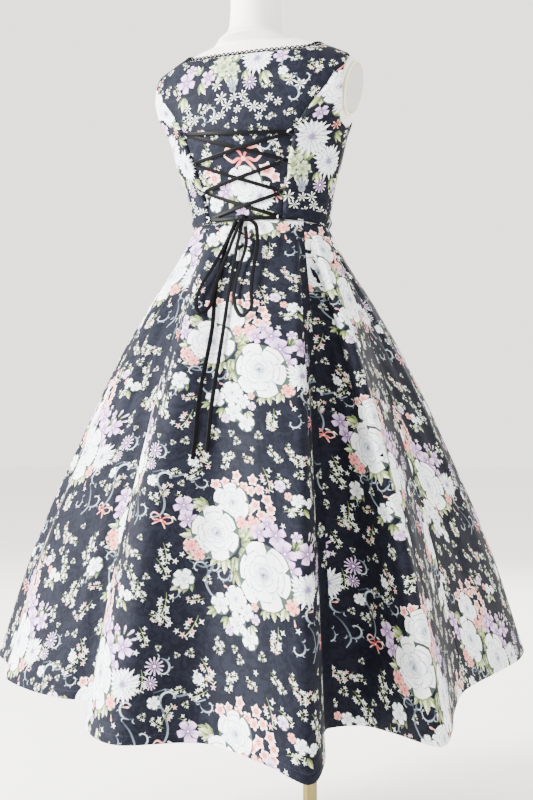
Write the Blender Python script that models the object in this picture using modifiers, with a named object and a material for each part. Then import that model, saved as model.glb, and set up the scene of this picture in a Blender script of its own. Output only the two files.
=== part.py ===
# A sleeveless, laced-back pinafore dress on a limbless dress form.
# Metres, +Z up. The front faces -Y and the wearer's right side is -X.
# The origin is on the floor, under the middle of the stand's base plate.
import math

import bpy
import numpy as np
from mathutils import Vector
from mathutils.geometry import delaunay_2d_cdt

# --- Cloth -------------------------------------------------------------
CLOTH = 0.0018            # wall of the dress, cloth and its turned edges
SEAM_GAP = 0.0003         # between neighbouring pieces
GRID = 0.025              # spacing of the points inside a bodice panel
SEAM_STEP = 0.018         # spacing of the points along a bodice seam
NECK_STEP = 0.006         # and along the neckline
LOW_ROW = 0.005           # first row of points above the waist seam
SEAM_FINE_STEP = 0.004    # where a seam is only measured
PANEL_INSET = 0.00025     # what each bodice panel leaves of its seam's gap
GORE_INSET = 0.00024      # and each gore of the skirt
NORMAL_STEP = 0.0015      # cloth looked at each way to find its normal
LEAST_MARGIN = 0.0012     # from an outline to any point added inside it

# --- Heights -----------------------------------------------------------
WAIST_Z = 1.120           # waist seam at the centre back
WAIST_DROP = 0.010        # how much lower it runs at the side seams
HEM_Z = 0.340
CHEST_Z = 1.335           # from here up the bodice turns over the shoulder
UNDERARM_Z = 1.272

# --- Shoulder ridge, where the back meets the front ---------------------
RIDGE_Y = 0.030
RIDGE_X = 0.127           # inner edge of the shoulder part
RIDGE_TIP_X = 0.172       # outer edge of the shoulder part
RIDGE_Z = 1.4185          # height at the inner edge
RIDGE_SLOPE = 0.48
RIDGE_ROUND = 0.5         # how much it flattens towards the middle of the neck

# --- Scale of the bodice's cloth coordinates ----------------------------
GIRTH_RADIUS = 0.130      # metres round the body for each radian
CHEST_RISE = 0.215        # cloth from the waist seam up to the chest line

# Outside of the bodice, a row for each level.
BODY = (
    # height, half_width, back_depth, front_depth, centre_y
    (1.095, 0.1240, 0.0760, 0.096, 0.0135),
    (1.120, 0.1245, 0.0740, 0.096, 0.0145),
    (1.157, 0.1325, 0.0710, 0.096, 0.0180),
    (1.190, 0.1415, 0.0750, 0.098, 0.0225),
    (1.215, 0.1500, 0.0815, 0.102, 0.0255),
    (1.245, 0.1575, 0.0900, 0.110, 0.0265),
    (1.270, 0.1650, 0.0930, 0.111, 0.0275),
    (1.290, 0.1770, 0.0920, 0.108, 0.0280),
    (1.310, 0.1930, 0.0890, 0.103, 0.0285),
    (1.335, 0.2100, 0.0850, 0.098, 0.0290),
)

# Seams and edges of the bodice's left half, a row for each point.
BACK_PRINCESS = (
    # side, height
    (0.0700, 1.1140),
    (0.0733, 1.1580),
    (0.0805, 1.1840),
    (0.0872, 1.2140),
    (0.0960, 1.2425),
    (0.1060, 1.2700),
    (0.1330, 1.3100),
    (0.1600, 1.3470),
    (0.1785, 1.3720),
)
BACK_SHOULDER_EDGE = (
    # side, height, from the princess seam up to the shoulder ridge
    (0.1785, 1.3720),
    (0.1790, 1.3850),
    (0.1720, 1.3969),
)
BACK_ARMHOLE = (
    # side, height, from the princess seam down to the side seam
    (0.1785, 1.3720),
    (0.1772, 1.3390),
    (0.1730, 1.3030),
    (0.1660, 1.2840),
)
FRONT_PRINCESS = (
    # side, height
    (0.0700, 1.1000),
    (0.0790, 1.1600),
    (0.0920, 1.2150),
    (0.1050, 1.2600),
    (0.1280, 1.3100),
    (0.1520, 1.3450),
)
FRONT_SHOULDER_EDGE = (
    # side, height, from the princess seam up to the shoulder ridge
    (0.1520, 1.3450),
    (0.1570, 1.3760),
    (0.1720, 1.3969),
)
FRONT_ARMHOLE = (
    # side, height, from the princess seam down to the side seam
    (0.1520, 1.3450),
    (0.1530, 1.3150),
    (0.1600, 1.2860),
)
BACK_NECKLINE = (
    # side, height, from the shoulder ridge to the centre
    (0.1270, 1.4185),
    (0.1262, 1.4150),
    (0.1225, 1.4080),
    (0.1130, 1.4030),
    (0.0900, 1.4000),
    (0.0500, 1.3980),
    (0.0000, 1.3970),
)
FRONT_NECKLINE = (
    # side, height, from the shoulder ridge to the centre
    (0.1270, 1.4185),
    (0.1240, 1.3950),
    (0.1190, 1.3650),
    (0.1120, 1.3460),
    (0.0960, 1.3360),
    (0.0600, 1.3320),
    (0.0000, 1.3310),
)

# --- Raised edges of the side backs, where the lacing pulls -------------
EDGE_RAISE = 0.0050
EDGE_ROUND = 0.0045       # width of the rounded edge
EDGE_FADE = 0.0300        # the raise dies away over this width
EDGE_ROWS = (0.0018, 0.0045, 0.0180)  # points beside the seam that carry the raise
EDGE_LOW_Z = 1.083        # the raise begins here
EDGE_LOW_FADE = 0.024
EDGE_HIGH_Z = 1.312       # and has died away here
EDGE_HIGH_FADE = 0.040

# --- Soft roll of cloth above the waist seam of the side panels ----------
ROLL_RISE = 0.012
ROLL_HALF = 0.0095
ROLL_RAISE = 0.0040
ROLL_ROWS = (0.0030, 0.0120, 0.0210)  # points above the waist that carry the roll

# --- Skirt ---------------------------------------------------------------
# How far the cloth has flared out at each share of the way down.
FLARE = (
    # down, out
    (0.00, 0.000),
    (0.06, 0.072),
    (0.15, 0.200),
    (0.24, 0.315),
    (0.35, 0.440),
    (0.50, 0.590),
    (0.72, 0.797),
    (1.00, 1.000),
)
# The hem seen from above, a row for each crest, valley and side of a fold.
# Angles are from +X towards +Y; a fold leaves the waist at waist_angle.
FOLDS = (
    # hem_angle, hem_radius, waist_angle, hem_drop
    (67.0, 0.367, 56.0, 0.000),
    (82.0, 0.475, 61.0, 0.000),
    (92.5, 0.536, 68.0, 0.000),
    (105.0, 0.494, 82.0, 0.000),
    (115.0, 0.562, 100.0, 0.008),
    (120.6, 0.597, 134.0, 0.026),
    (123.6, 0.545, 138.0, 0.012),
    (126.2, 0.440, 141.0, 0.000),
    (129.5, 0.411, 144.0, 0.000),
    (135.5, 0.416, 147.5, 0.000),
    (138.2, 0.470, 150.5, 0.000),
    (140.5, 0.560, 154.0, 0.000),
    (148.0, 0.497, 159.0, 0.000),
    (159.0, 0.418, 165.0, 0.000),
    (180.0, 0.364, 180.0, 0.000),
    (205.0, 0.414, 192.0, 0.000),
    (219.0, 0.488, 200.0, 0.000),
    (231.0, 0.546, 208.0, 0.000),
    (242.0, 0.495, 215.0, 0.000),
    (252.0, 0.430, 224.0, 0.000),
    (262.0, 0.555, 234.0, 0.000),
    (273.0, 0.490, 270.0, 0.000),
    (285.0, 0.560, 304.0, 0.000),
    (297.0, 0.430, 316.0, 0.000),
    (312.0, 0.555, 328.0, 0.000),
    (327.0, 0.450, 344.0, 0.000),
    (340.0, 0.430, 360.0, 0.000),
    (363.0, 0.528, 369.0, 0.000),
    (378.0, 0.464, 379.0, 0.000),
    (393.0, 0.444, 388.0, 0.000),
    (407.0, 0.413, 398.0, 0.000),
    (418.0, 0.387, 407.0, 0.000),
)
FOLD_STEPS = 3            # columns of cloth for each row of FOLDS
GORES = (
    # name, first row of FOLDS, last row of FOLDS
    ("skirt_back_centre", 0, 8),
    ("skirt_back_side_right", 8, 14),
    ("skirt_front_side_right", 14, 19),
    ("skirt_front_centre", 19, 23),
    ("skirt_front_side_left", 23, 26),
    ("skirt_back_side_left", 26, 32),
)

# --- Lace at the neckline -------------------------------------------------
LACE_THICK = 0.0010
LACE_GAP = 0.0006         # from the cloth's edge
LACE_SINK = -0.0004       # its face lies a little behind the cloth's
LACE_BAND = 0.0020
LACE_PITCH = 0.0090
LACE_PEAK = 0.0082
LACE_INNER_PEAK = 0.0064
LACE_FOOT = 0.0012        # width of a strand at the band
LACE_LEAN = 0.0020        # cloth beside the edge that the lace carries on from

# --- Lacing ----------------------------------------------------------------
RIBBON_WIDTH = 0.0068
RIBBON_THICK = 0.0008
RIBBON_LAYER = 0.0012     # from one crossing layer to the next
RIBBON_CLEAR = 0.0013     # first layer above the panel
RIBBON_END = 0.0032       # from the princess seam to a run's end
RIBBON_SAG = 0.0040
SAG_SPAN = 0.150          # a run this long takes the whole sag
LOOP_PAIRS = (
    # left_height, right_height
    (1.2715, 1.2585),
    (1.2200, 1.2145),
    (1.1730, 1.1645),
    (1.1250, 1.1220),
)
LOOP_REACH = 0.0100
LOOP_HALF = 0.0050
LOOP_WIDTH = 0.0022
LOOP_THICK = 0.0013
LOOP_STEPS = 9
LOOP_LIFT = 0.0057
LOOP_ROOT = 0.0040         # how far its ends lie over the side back
KNOT_SIZE = (0.0220, 0.0080, 0.0120)
KNOT_Z = 1.1213
KNOT_CLEAR = 0.0006
KNOT_END_GAP = 0.0009     # from the knot to the two runs that enter it
KNOT_FULLNESS = 0.6        # 1 is an ellipsoid, less is squarer

# Free ribbons: routes over the skirt, from the knot down.
LEFT_LOOP = (
    # side, height
    (0.0070, 1.1150),
    (0.0142, 1.0776),
    (0.0230, 1.0295),
    (0.0283, 0.9959),
    (0.0269, 0.9698),
    (0.0133, 0.9508),
    (0.0034, 0.9627),
    (0.0051, 0.9815),
    (0.0064, 1.0272),
    (0.0035, 1.0735),
    (-0.0016, 1.1150),
)
RIGHT_LOOP = (
    (-0.0085, 1.1138),
    (-0.0200, 1.1125),
    (-0.0310, 1.1050),
    (-0.0405, 1.0852),
    (-0.0528, 1.0401),
    (-0.0588, 1.0115),
    (-0.0663, 0.9855),
    (-0.0749, 0.9550),
    (-0.0656, 0.9437),
    (-0.0505, 0.9542),
    (-0.0382, 0.9732),
    (-0.0310, 1.0060),
    (-0.0300, 1.0269),
    (-0.0266, 1.0698),
    (-0.0150, 1.1020),
)
LEFT_TAIL = (
    (0.0070, 1.1156),
    (0.0135, 1.0780),
    (0.0110, 1.0294),
    (0.0040, 0.9900),
    (-0.0105, 0.9274),
    (-0.0165, 0.8783),
    (-0.0200, 0.8400),
    (-0.0250, 0.7995),
    (-0.0321, 0.7583),
    (-0.0367, 0.7240),
)
RIGHT_TAIL = (
    (-0.0045, 1.1150),
    (-0.0084, 1.0694),
    (-0.0150, 1.0280),
    (-0.0200, 0.9950),
    (-0.0302, 0.9270),
    (-0.0360, 0.8766),
    (-0.0396, 0.8400),
    (-0.0440, 0.7995),
    (-0.0493, 0.7644),
    (-0.0534, 0.7359),
)
FREE_LIFTS = {"left_tail": 0.0030, "right_tail": 0.0045, "left_loop": 0.0060, "right_loop": 0.0075}
RIBBON_STEP = 0.010       # spacing of the points along a ribbon
SLOPE_STEP = 0.004        # skirt looked at each way to find its slope

# --- Dress form and stand ----------------------------------------------------
FORM_GAP = 0.0030         # from the cloth's inside to the form
FORM_RING = 26
FORM_HIPS = (
    # height, half_width, back_depth, front_depth, centre_y
    (0.900, 0.1180, 0.0820, 0.084, 0.0120),
    (0.906, 0.1380, 0.0960, 0.096, 0.0120),
    (0.925, 0.1480, 0.1040, 0.101, 0.0120),
    (0.970, 0.1470, 0.1020, 0.100, 0.0120),
    (1.010, 0.1370, 0.0910, 0.096, 0.0120),
    (1.050, 0.1245, 0.0760, 0.092, 0.0130),
)
FORM_LEVELS = (1.085, 1.115, 1.150, 1.190, 1.225, 1.255, 1.276, 1.289, 1.304, 1.320)
FORM_SHOULDER_LEVELS = (1.340, 1.358, 1.374, 1.387, 1.399, 1.410, 1.420, 1.430)
NECK = (
    # height, half_width, half_depth, centre_y
    (1.438, 0.0660, 0.0600, 0.0320),
    (1.447, 0.0540, 0.0540, 0.0310),
    (1.458, 0.0480, 0.0500, 0.0300),
    (1.480, 0.0460, 0.0480, 0.0290),
    (1.520, 0.0450, 0.0470, 0.0280),
    (1.538, 0.0435, 0.0455, 0.0280),
    (1.545, 0.0380, 0.0400, 0.0280),
)
PLATE_X = 0.1740          # where the shoulder ends are cut flat
PLATE_Y = 0.0240
PLATE_Z = 1.3400
PLATE_TILT = math.radians(12)
PLATE_LOW_Z = 1.2880       # the body is left round below this
PLATE_HALF_HEIGHT = 0.0400
PLATE_HALF_DEPTH = 0.0330
PLATE_THICK = 0.0060
PLATE_BEVEL = 0.0012
RIM_RADIUS = 0.0028
POLE_X = -0.0731
POLE_Y = -0.0341
POLE_RADIUS = 0.0125
COLLAR_RADIUS = 0.0230
COLLAR_HEIGHT = 0.0300
SOCKET_RADIUS = 0.0260
SOCKET_HEIGHT = 0.0350
BASE_RADIUS = 0.1750
BASE_THICK = 0.0120
BASE_BEVEL = 0.0030
STAND_BEVEL = 0.0020
ROUND_SIDES = 24
RIM_SIDES = 5
CLOTH_SHARP = math.radians(50)
TURNED_SHARP = math.radians(40)

COLOURS = {
    # base colour, roughness, metallic
    "printed_cloth": ((0.030, 0.034, 0.050), 0.80, 0.0),
    "ribbon": ((0.008, 0.008, 0.010), 0.45, 0.0),
    "lace": ((0.008, 0.008, 0.010), 0.70, 0.0),
    "form": ((0.780, 0.740, 0.680), 0.60, 0.0),
    "rim": ((0.720, 0.620, 0.420), 0.35, 0.6),
    "brass": ((0.420, 0.360, 0.200), 0.35, 0.9),
}


# ------------------------------------------------------------ small helpers
def smooth_value(keys, values, at):
    """Cubic curve through (keys, values), read at one or many places."""
    keys = np.asarray(keys, float)
    values = np.asarray(values, float)
    slopes = np.gradient(values, keys)
    at = np.clip(at, keys[0], keys[-1])
    i = np.clip(np.searchsorted(keys, at) - 1, 0, len(keys) - 2)
    step = keys[i + 1] - keys[i]
    s = (at - keys[i]) / step
    start = (2 * s**3 - 3 * s**2 + 1) * values[i] + (s**3 - 2 * s**2 + s) * step * slopes[i]
    end = (3 * s**2 - 2 * s**3) * values[i + 1] + (s**3 - s**2) * step * slopes[i + 1]
    return start + end


def smooth_step(s):
    """0 below 0, 1 above 1, smooth between."""
    s = np.clip(s, 0.0, 1.0)
    return s * s * (3 - 2 * s)


def resample(points, step):
    """Points at even spacing along a smooth curve through the given ones."""
    points = np.asarray(points, float)
    along = np.r_[0, np.cumsum(np.linalg.norm(np.diff(points, axis=0), axis=1))]
    fine = np.linspace(0, along[-1], 40 * len(points))
    curve = np.stack([smooth_value(along, points[:, k], fine) for k in range(points.shape[1])], 1)
    length = np.r_[0, np.cumsum(np.linalg.norm(np.diff(curve, axis=0), axis=1))]
    count = max(2, int(round(length[-1] / step)) + 1)
    where = np.linspace(0, length[-1], count)
    return np.stack([np.interp(where, length, curve[:, k]) for k in range(points.shape[1])], 1)


def column(table, k):
    """One column of a table."""
    return np.array([row[k] for row in table])


# ------------------------------------------------------------ bodice surface
def waist_height(alpha):
    """Height of the waist seam at an angle round the body."""
    return WAIST_Z - WAIST_DROP * (1 - np.sin(alpha))


def body_section(z, inset=0.0):
    """Half width, back depth, front depth and centre of the body at a height."""
    heights = column(BODY, 0)
    half, back, front, centre = (smooth_value(heights, column(BODY, k), z) for k in (1, 2, 3, 4))
    return half - inset, back - inset, front - inset, centre


def section_point(alpha, section):
    """Point of an egg-shaped section: angle 0 is +X, 90 degrees is the back."""
    half, back, front, centre = section
    depth = np.where(np.sin(alpha) > 0, back, front)
    return half * np.cos(alpha), centre + depth * np.sin(alpha)


def ridge_height(x, inset=0.0):
    """Height of the shoulder ridge, falling from the neck outwards."""
    out = np.abs(x) - RIDGE_X
    eased = np.where(out < 0, out * (1 + RIDGE_ROUND * out / RIDGE_X), out)
    return RIDGE_Z - inset * math.hypot(1, RIDGE_SLOPE) - RIDGE_SLOPE * eased


def shoulder_rise(x, y):
    """Cloth from the chest line up to the ridge, above a point of the chest line."""
    up = ridge_height(x) - CHEST_Z
    return math.pi / 2 * np.sqrt((up * up + (y - RIDGE_Y) ** 2) / 2)


def bodice_surface(girth, rise):
    """Outside of the bodice from cloth coordinates: round the body and up."""
    alpha = np.asarray(girth, float) / GIRTH_RADIUS
    rise = np.asarray(rise, float)
    low = np.minimum(rise / CHEST_RISE, 1.0)
    z = waist_height(alpha) + (CHEST_Z - waist_height(alpha)) * low
    x, y = section_point(alpha, body_section(z))
    turn = np.clip((rise - CHEST_RISE) / shoulder_rise(x, y), 0.0, 1.0) * math.pi / 2
    z = z + (ridge_height(x) - CHEST_Z) * np.sin(turn)
    y = RIDGE_Y + (y - RIDGE_Y) * np.where(turn > 0, np.cos(turn), 1.0)
    return np.stack([x, y, z], -1)


def ridge_rise(girth):
    """Rise at which the cloth reaches the shoulder ridge."""
    x, y = section_point(np.asarray(girth, float) / GIRTH_RADIUS, body_section(CHEST_Z))
    return CHEST_RISE + shoulder_rise(x, y)


def bodice_point(girth, rise, out=0.0):
    """Point of the bodice, moved out along the cloth's normal."""
    girth = np.asarray(girth, float)
    rise = np.asarray(rise, float)
    here = bodice_surface(girth, rise)
    step = NORMAL_STEP
    safe = np.minimum(rise, ridge_rise(girth) - step * 1.1)
    along = bodice_surface(girth + step, safe) - bodice_surface(girth - step, safe)
    up = bodice_surface(girth, safe + step) - bodice_surface(girth, safe - step)
    normal = np.cross(along, up)
    normal /= np.linalg.norm(normal, axis=-1, keepdims=True)
    return here + normal * np.asarray(out)[..., None]


def bodice_place(x, z, front=False):
    """Cloth coordinates of a point of the left half given by side and height."""
    if z <= CHEST_Z:
        alpha = math.acos(min(1.0, x / float(body_section(z)[0])))
        signed = -alpha if front else alpha
        bottom = float(waist_height(signed))
        rise = CHEST_RISE * (z - bottom) / (CHEST_Z - bottom)
    else:
        alpha = math.acos(min(1.0, x / float(body_section(CHEST_Z)[0])))
        signed = -alpha if front else alpha
        share = (z - CHEST_Z) / (float(ridge_height(x)) - CHEST_Z)
        top = float(ridge_rise(signed * GIRTH_RADIUS)) - CHEST_RISE
        rise = CHEST_RISE + top * math.asin(min(1.0, share)) / (math.pi / 2)
    return signed * GIRTH_RADIUS, max(0.0, rise)


def bodice_curve(rows, front, step=SEAM_STEP):
    """A seam or edge of the left half as evenly spaced cloth points."""
    return resample([bodice_place(x, z, front) for x, z in rows], step)


def true_resample(line, step):
    """Cloth points along a line, spaced evenly as measured on the body."""
    fine = resample(line, 0.001)
    spots = bodice_surface(fine[:, 0], fine[:, 1])
    along = np.r_[0, np.cumsum(np.linalg.norm(np.diff(spots, axis=0), axis=1))]
    count = max(2, int(round(along[-1] / step)) + 1)
    where = np.linspace(0, along[-1], count)
    return np.stack([np.interp(where, along, fine[:, k]) for k in (0, 1)], 1)


def mirrored(points, front):
    """The same points on the wearer's right."""
    middle = (-math.pi if front else math.pi) * GIRTH_RADIUS
    out = np.array(points, float)
    out[:, 0] = middle - out[:, 0]
    return out


# ------------------------------------------------------------ seam lines
def half_lines(front):
    """Princess seam, both armhole parts, shoulder seam and neckline of the left half."""
    princess = bodice_curve(FRONT_PRINCESS if front else BACK_PRINCESS, front)
    princess[0, 1] = 0.0
    armhole_rows = FRONT_ARMHOLE if front else BACK_ARMHOLE
    side_top = (0.0, bodice_place(1.0, UNDERARM_Z, front)[1])
    lower = [bodice_place(x, z, front) for x, z in armhole_rows] + [side_top]
    lower = resample(lower, SEAM_STEP)
    tip, inner = (bodice_place(x, float(ridge_height(x)), front) for x in (RIDGE_TIP_X, RIDGE_X))
    upper = bodice_curve(FRONT_SHOULDER_EDGE if front else BACK_SHOULDER_EDGE, front)
    upper[-1] = tip
    shoulder_x = np.linspace(RIDGE_TIP_X, RIDGE_X, 4)
    shoulder = [bodice_place(x, float(ridge_height(x)), front) for x in shoulder_x]
    neck = true_resample(bodice_curve(FRONT_NECKLINE if front else BACK_NECKLINE, front), NECK_STEP)
    neck[0] = inner
    return princess, lower, upper, shoulder, neck


def joined(*lines):
    """One outline from lines that follow each other, without double points."""
    out = []
    for line in lines:
        for point in line:
            if not out or np.linalg.norm(np.subtract(point, out[-1])) > 1e-5:
                out.append(np.array(point, float))
    if np.linalg.norm(out[0] - out[-1]) < 1e-5:
        out.pop()
    return np.array(out)


def waist_line(start, end):
    """Points along the waist seam."""
    count = max(2, int(round(abs(end - start) / SEAM_STEP)) + 1)
    girth = np.linspace(start, end, count)
    return np.stack([girth, np.zeros(count)], 1)


def side_outline(front, right):
    """Outline of a side back or side front."""
    princess, lower, _, _, _ = half_lines(front)
    count = max(2, int(round(lower[-1][1] / SEAM_STEP)) + 1)
    seam = np.stack([np.zeros(count), np.linspace(lower[-1][1], 0, count)], 1)
    outline = joined(waist_line(0.0, princess[0][0]), princess, lower, seam)
    return mirrored(outline, front) if right else outline


def centre_outline(front):
    """Outline of the centre back or front with its two shoulder parts."""
    princess, _, upper, shoulder, neck = half_lines(front)
    half = joined(princess, upper, shoulder, neck)
    waist = waist_line(princess[0][0], mirrored(princess[:1], front)[0][0])
    return joined(waist, mirrored(half, front), half[::-1])


def is_left_turning(outline):
    """True where the outline runs anticlockwise."""
    x, y = outline[:, 0], outline[:, 1]
    return np.sum(x * np.roll(y, -1) - np.roll(x, -1) * y) > 0


def inset_outline(outline, distance):
    """The outline moved inwards."""
    before = outline - np.roll(outline, 1, axis=0)
    after = np.roll(outline, -1, axis=0) - outline
    before /= np.linalg.norm(before, axis=1, keepdims=True)
    after /= np.linalg.norm(after, axis=1, keepdims=True)
    inward_before = np.stack([-before[:, 1], before[:, 0]], 1)
    inward_after = np.stack([-after[:, 1], after[:, 0]], 1)
    bisector = inward_before + inward_after
    scale = 2.0 / np.maximum(np.sum(bisector * bisector, axis=1, keepdims=True), 0.8)
    return outline + bisector * scale * distance


def inside(outline, points, margin):
    """Which points lie inside the outline, at least a margin from it."""
    result = []
    ends = np.roll(outline, -1, axis=0)
    span = ends - outline
    for p in points:
        crosses = (outline[:, 1] > p[1]) != (ends[:, 1] > p[1])
        with np.errstate(divide="ignore", invalid="ignore"):
            at = outline[:, 0] + (p[1] - outline[:, 1]) * span[:, 0] / span[:, 1]
        odd = np.count_nonzero(crosses & (p[0] < at)) % 2 == 1
        share = np.clip(np.sum((p - outline) * span, 1) / np.sum(span * span, 1), 0, 1)
        gap = np.min(np.linalg.norm(outline + span * share[:, None] - p, axis=1))
        result.append(odd and gap > margin)
    return np.array(result, bool)


# ------------------------------------------------------------ building objects
def material(name):
    """Principled material of one of the finishes."""
    made = bpy.data.materials.get(name)
    if made:
        return made
    colour, roughness, metallic = COLOURS[name]
    made = bpy.data.materials.new(name)
    made.use_nodes = True
    shader = made.node_tree.nodes["Principled BSDF"]
    shader.inputs["Base Color"].default_value = (*colour, 1.0)
    shader.inputs["Roughness"].default_value = roughness
    shader.inputs["Metallic"].default_value = metallic
    return made


def new_collection(name):
    """A collection linked to the scene."""
    made = bpy.data.collections.new(name)
    bpy.context.scene.collection.children.link(made)
    return made


def add_object(name, points, faces, finish, smooth=True):
    """An object from points and faces, in the dress's collection."""
    mesh = bpy.data.meshes.new(name)
    mesh.from_pydata([tuple(map(float, p)) for p in points], [], [tuple(f) for f in faces])
    mesh.update()
    mesh.materials.append(material(finish))
    if smooth:
        mesh.shade_smooth()
        mesh.set_sharp_from_angle(angle=CLOTH_SHARP)
    made = bpy.data.objects.new(name, mesh)
    parts.objects.link(made)
    return made


def thicken(made, thickness, offset=-1.0):
    """A wall from an open surface."""
    wall = made.modifiers.new("wall", "SOLIDIFY")
    wall.thickness = thickness
    wall.offset = offset
    wall.use_even_offset = False
    wall.use_quality_normals = True


def cloth_wall(name, outer, inner, faces, finish):
    """A closed wall between an outer and an inner surface of the same faces."""
    count = len(outer)
    sides = {}
    for face in faces:
        for a, b in zip(face, face[1:] + face[:1]):
            sides[(a, b)] = sides.get((a, b), 0) + 1
    rim = [(a, b) for a, b in sides if (b, a) not in sides]
    shell = [tuple(f) for f in faces]
    shell += [tuple(count + v for v in reversed(f)) for f in faces]
    shell += [(b, a, count + a, count + b) for a, b in rim]
    add_object(name, np.concatenate([outer, inner]), shell, finish)


def grid_faces(rows, columns, closed=False):
    """Quads of a grid of points, row after row."""
    faces = []
    span = columns if closed else columns - 1
    for r in range(rows - 1):
        for c in range(span):
            d = (c + 1) % columns
            faces.append((r * columns + c, r * columns + d, (r + 1) * columns + d, (r + 1) * columns + c))
    return faces


# ------------------------------------------------------------ bodice panels
def raised_edge(girth, rise):
    """Height of a side back's edge above the seam line, where the lacing pulls."""
    princess = bodice_curve(BACK_PRINCESS, False, SEAM_FINE_STEP)
    girth = np.where(girth > math.pi / 2 * GIRTH_RADIUS, math.pi * GIRTH_RADIUS - girth, girth)
    seam = np.interp(rise, princess[:, 1], princess[:, 0])
    away = np.maximum(seam - girth, 0.0)
    z = bodice_surface(girth, rise)[..., 2]
    share = smooth_step((z - EDGE_LOW_Z) / EDGE_LOW_FADE)
    share = share * smooth_step((EDGE_HIGH_Z - z) / EDGE_HIGH_FADE)
    near = np.sqrt(np.maximum(0.0, 1 - (1 - np.minimum(away / EDGE_ROUND, 1.0)) ** 2))
    far = 1 - smooth_step((away - EDGE_ROUND) / EDGE_FADE)
    return EDGE_RAISE * share * near * far


def waist_roll(girth, rise):
    """Height of the soft roll just above the waist seam."""
    across = np.clip(np.abs(rise - ROLL_RISE) / ROLL_HALF, 0, 1)
    return ROLL_RAISE * np.cos(across * math.pi / 2) ** 2


def panel(name, outline, raised=None, extra=()):
    """A cloth panel: its outline filled with triangles and laid on the body."""
    if not is_left_turning(outline):
        outline = outline[::-1]
    outline = inset_outline(outline, PANEL_INSET)
    low, high = outline.min(0), outline.max(0)
    across = np.arange(low[0] + GRID / 2, high[0], GRID)
    up = np.arange(GRID * 0.75, high[1], GRID)
    spots = [(g, r) for r in up for g in across]
    spots = [s for s, ok in zip(spots, inside(outline, np.array(spots), GRID * 0.45)) if ok]
    kept = inside(outline, np.array(extra), LEAST_MARGIN)
    more = [e for e, ok in zip(extra, kept) if ok]
    if more:
        far = [min(np.hypot(s[0] - e[0], s[1] - e[1]) for e in more) > GRID * 0.35 for s in spots]
        spots = [s for s, ok in zip(spots, far) if ok]
    flat = [Vector(p) for p in outline] + [Vector(s) for s in spots] + [Vector(e) for e in more]
    edge = list(range(len(outline)))
    verts, _, faces, _, _, _ = delaunay_2d_cdt(flat, [], [edge], 1, 1e-7)
    flat = np.array([tuple(v) for v in verts])
    out = raised(flat[:, 0], flat[:, 1]) if raised else np.zeros(len(flat))
    outer = bodice_point(flat[:, 0], flat[:, 1], out)
    inner = bodice_point(flat[:, 0], flat[:, 1], out - CLOTH)
    cloth_wall(name, outer, inner, [list(f) for f in faces], "printed_cloth")


def beside_princess(distances):
    """Rows of points beside the back princess seam, on the side panel."""
    line = bodice_curve(BACK_PRINCESS, False)
    rows = [(line[0][0], LOW_ROW)] + [tuple(p) for p in line[1:-1]]
    return [(g - d, r) for d in distances for g, r in rows]


def along_waist(start, end, rises):
    """Rows of points just above the waist seam."""
    count = max(2, int(round(abs(end - start) / SEAM_STEP)))
    return [(g, r) for r in rises for g in np.linspace(start, end, count + 1)[1:-1]]


def make_bodice():
    """Six panels: centre and two sides, back and front."""
    for front, word in ((False, "back"), (True, "front")):
        panel(f"bodice_{word}_centre", centre_outline(front))
        princess_girth = half_lines(front)[0][0][0]
        left_extra = along_waist(0.0, princess_girth, ROLL_ROWS)
        if not front:
            left_extra += beside_princess(EDGE_ROWS)
        for right, side in ((False, "left"), (True, "right")):
            extra = mirrored(left_extra, front) if right else np.array(left_extra)

            def height(girth, rise, front=front):
                roll = waist_roll(girth, rise)
                return roll if front else np.maximum(roll, raised_edge(girth, rise))

            panel(f"bodice_{word}_side_{side}", side_outline(front, right), height, extra)


# ------------------------------------------------------------ skirt
def fold_curve(k, place):
    """A column of FOLDS read smoothly at any place along the rows."""
    rows = len(FOLDS)
    values = column(FOLDS, k)
    turn = 360.0 if k in (0, 2) else 0.0
    many = np.r_[values - turn, values, values + turn]
    keys = np.arange(-rows, 2 * rows)
    return smooth_value(keys, many, place)


def hem_points(place):
    """The hem's outline, smooth through the rows of FOLDS."""
    rows = len(FOLDS)
    angle = np.radians(column(FOLDS, 0))
    radius = column(FOLDS, 1)
    keys = np.arange(-rows, 2 * rows)
    x = smooth_value(keys, np.tile(radius * np.cos(angle), 3), place)
    y = smooth_value(keys, np.tile(radius * np.sin(angle), 3), place)
    return x, y


def skirt_surface(place, down):
    """Outside of the skirt: place along FOLDS, and share of the way down."""
    place = np.asarray(place, float)
    down = np.asarray(down, float)
    alpha = np.radians(fold_curve(2, place))
    top = waist_height(alpha) - SEAM_GAP
    waist_x, waist_y = section_point(alpha, body_section(waist_height(alpha)))
    hem_x, hem_y = hem_points(place)
    out = smooth_value(column(FLARE, 0), column(FLARE, 1), down)
    z = top + (HEM_Z - fold_curve(3, place) - top) * down
    return np.stack([waist_x + (hem_x - waist_x) * out, waist_y + (hem_y - waist_y) * out, z], -1)


def make_skirt():
    """Six gores, each a wall that follows the folds from waist to hem."""
    downs = column(FLARE, 0)
    for name, first, last in GORES:
        count = (last - first) * FOLD_STEPS + 1
        place = np.linspace(first, last, count)
        rows = np.array([skirt_surface(place, d) for d in downs])
        # The first and last columns draw back from the seams.
        for edge, inner in ((0, 1), (-1, -2)):
            away = rows[:, inner] - rows[:, edge]
            away /= np.linalg.norm(away, axis=1, keepdims=True)
            rows[:, edge] += away * GORE_INSET
        faces = [f[::-1] for f in grid_faces(len(downs), count)]
        thicken(add_object(name, rows.reshape(-1, 3), faces, "printed_cloth"), CLOTH)


# ------------------------------------------------------------ lace
def neck_ring(front):
    """Points along the neckline from ridge to ridge, two for each picot loop."""
    neck = bodice_curve(FRONT_NECKLINE if front else BACK_NECKLINE, front)
    half = true_resample(neck, LACE_PITCH / 2)
    return joined(half, mirrored(half, front)[::-1])


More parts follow.
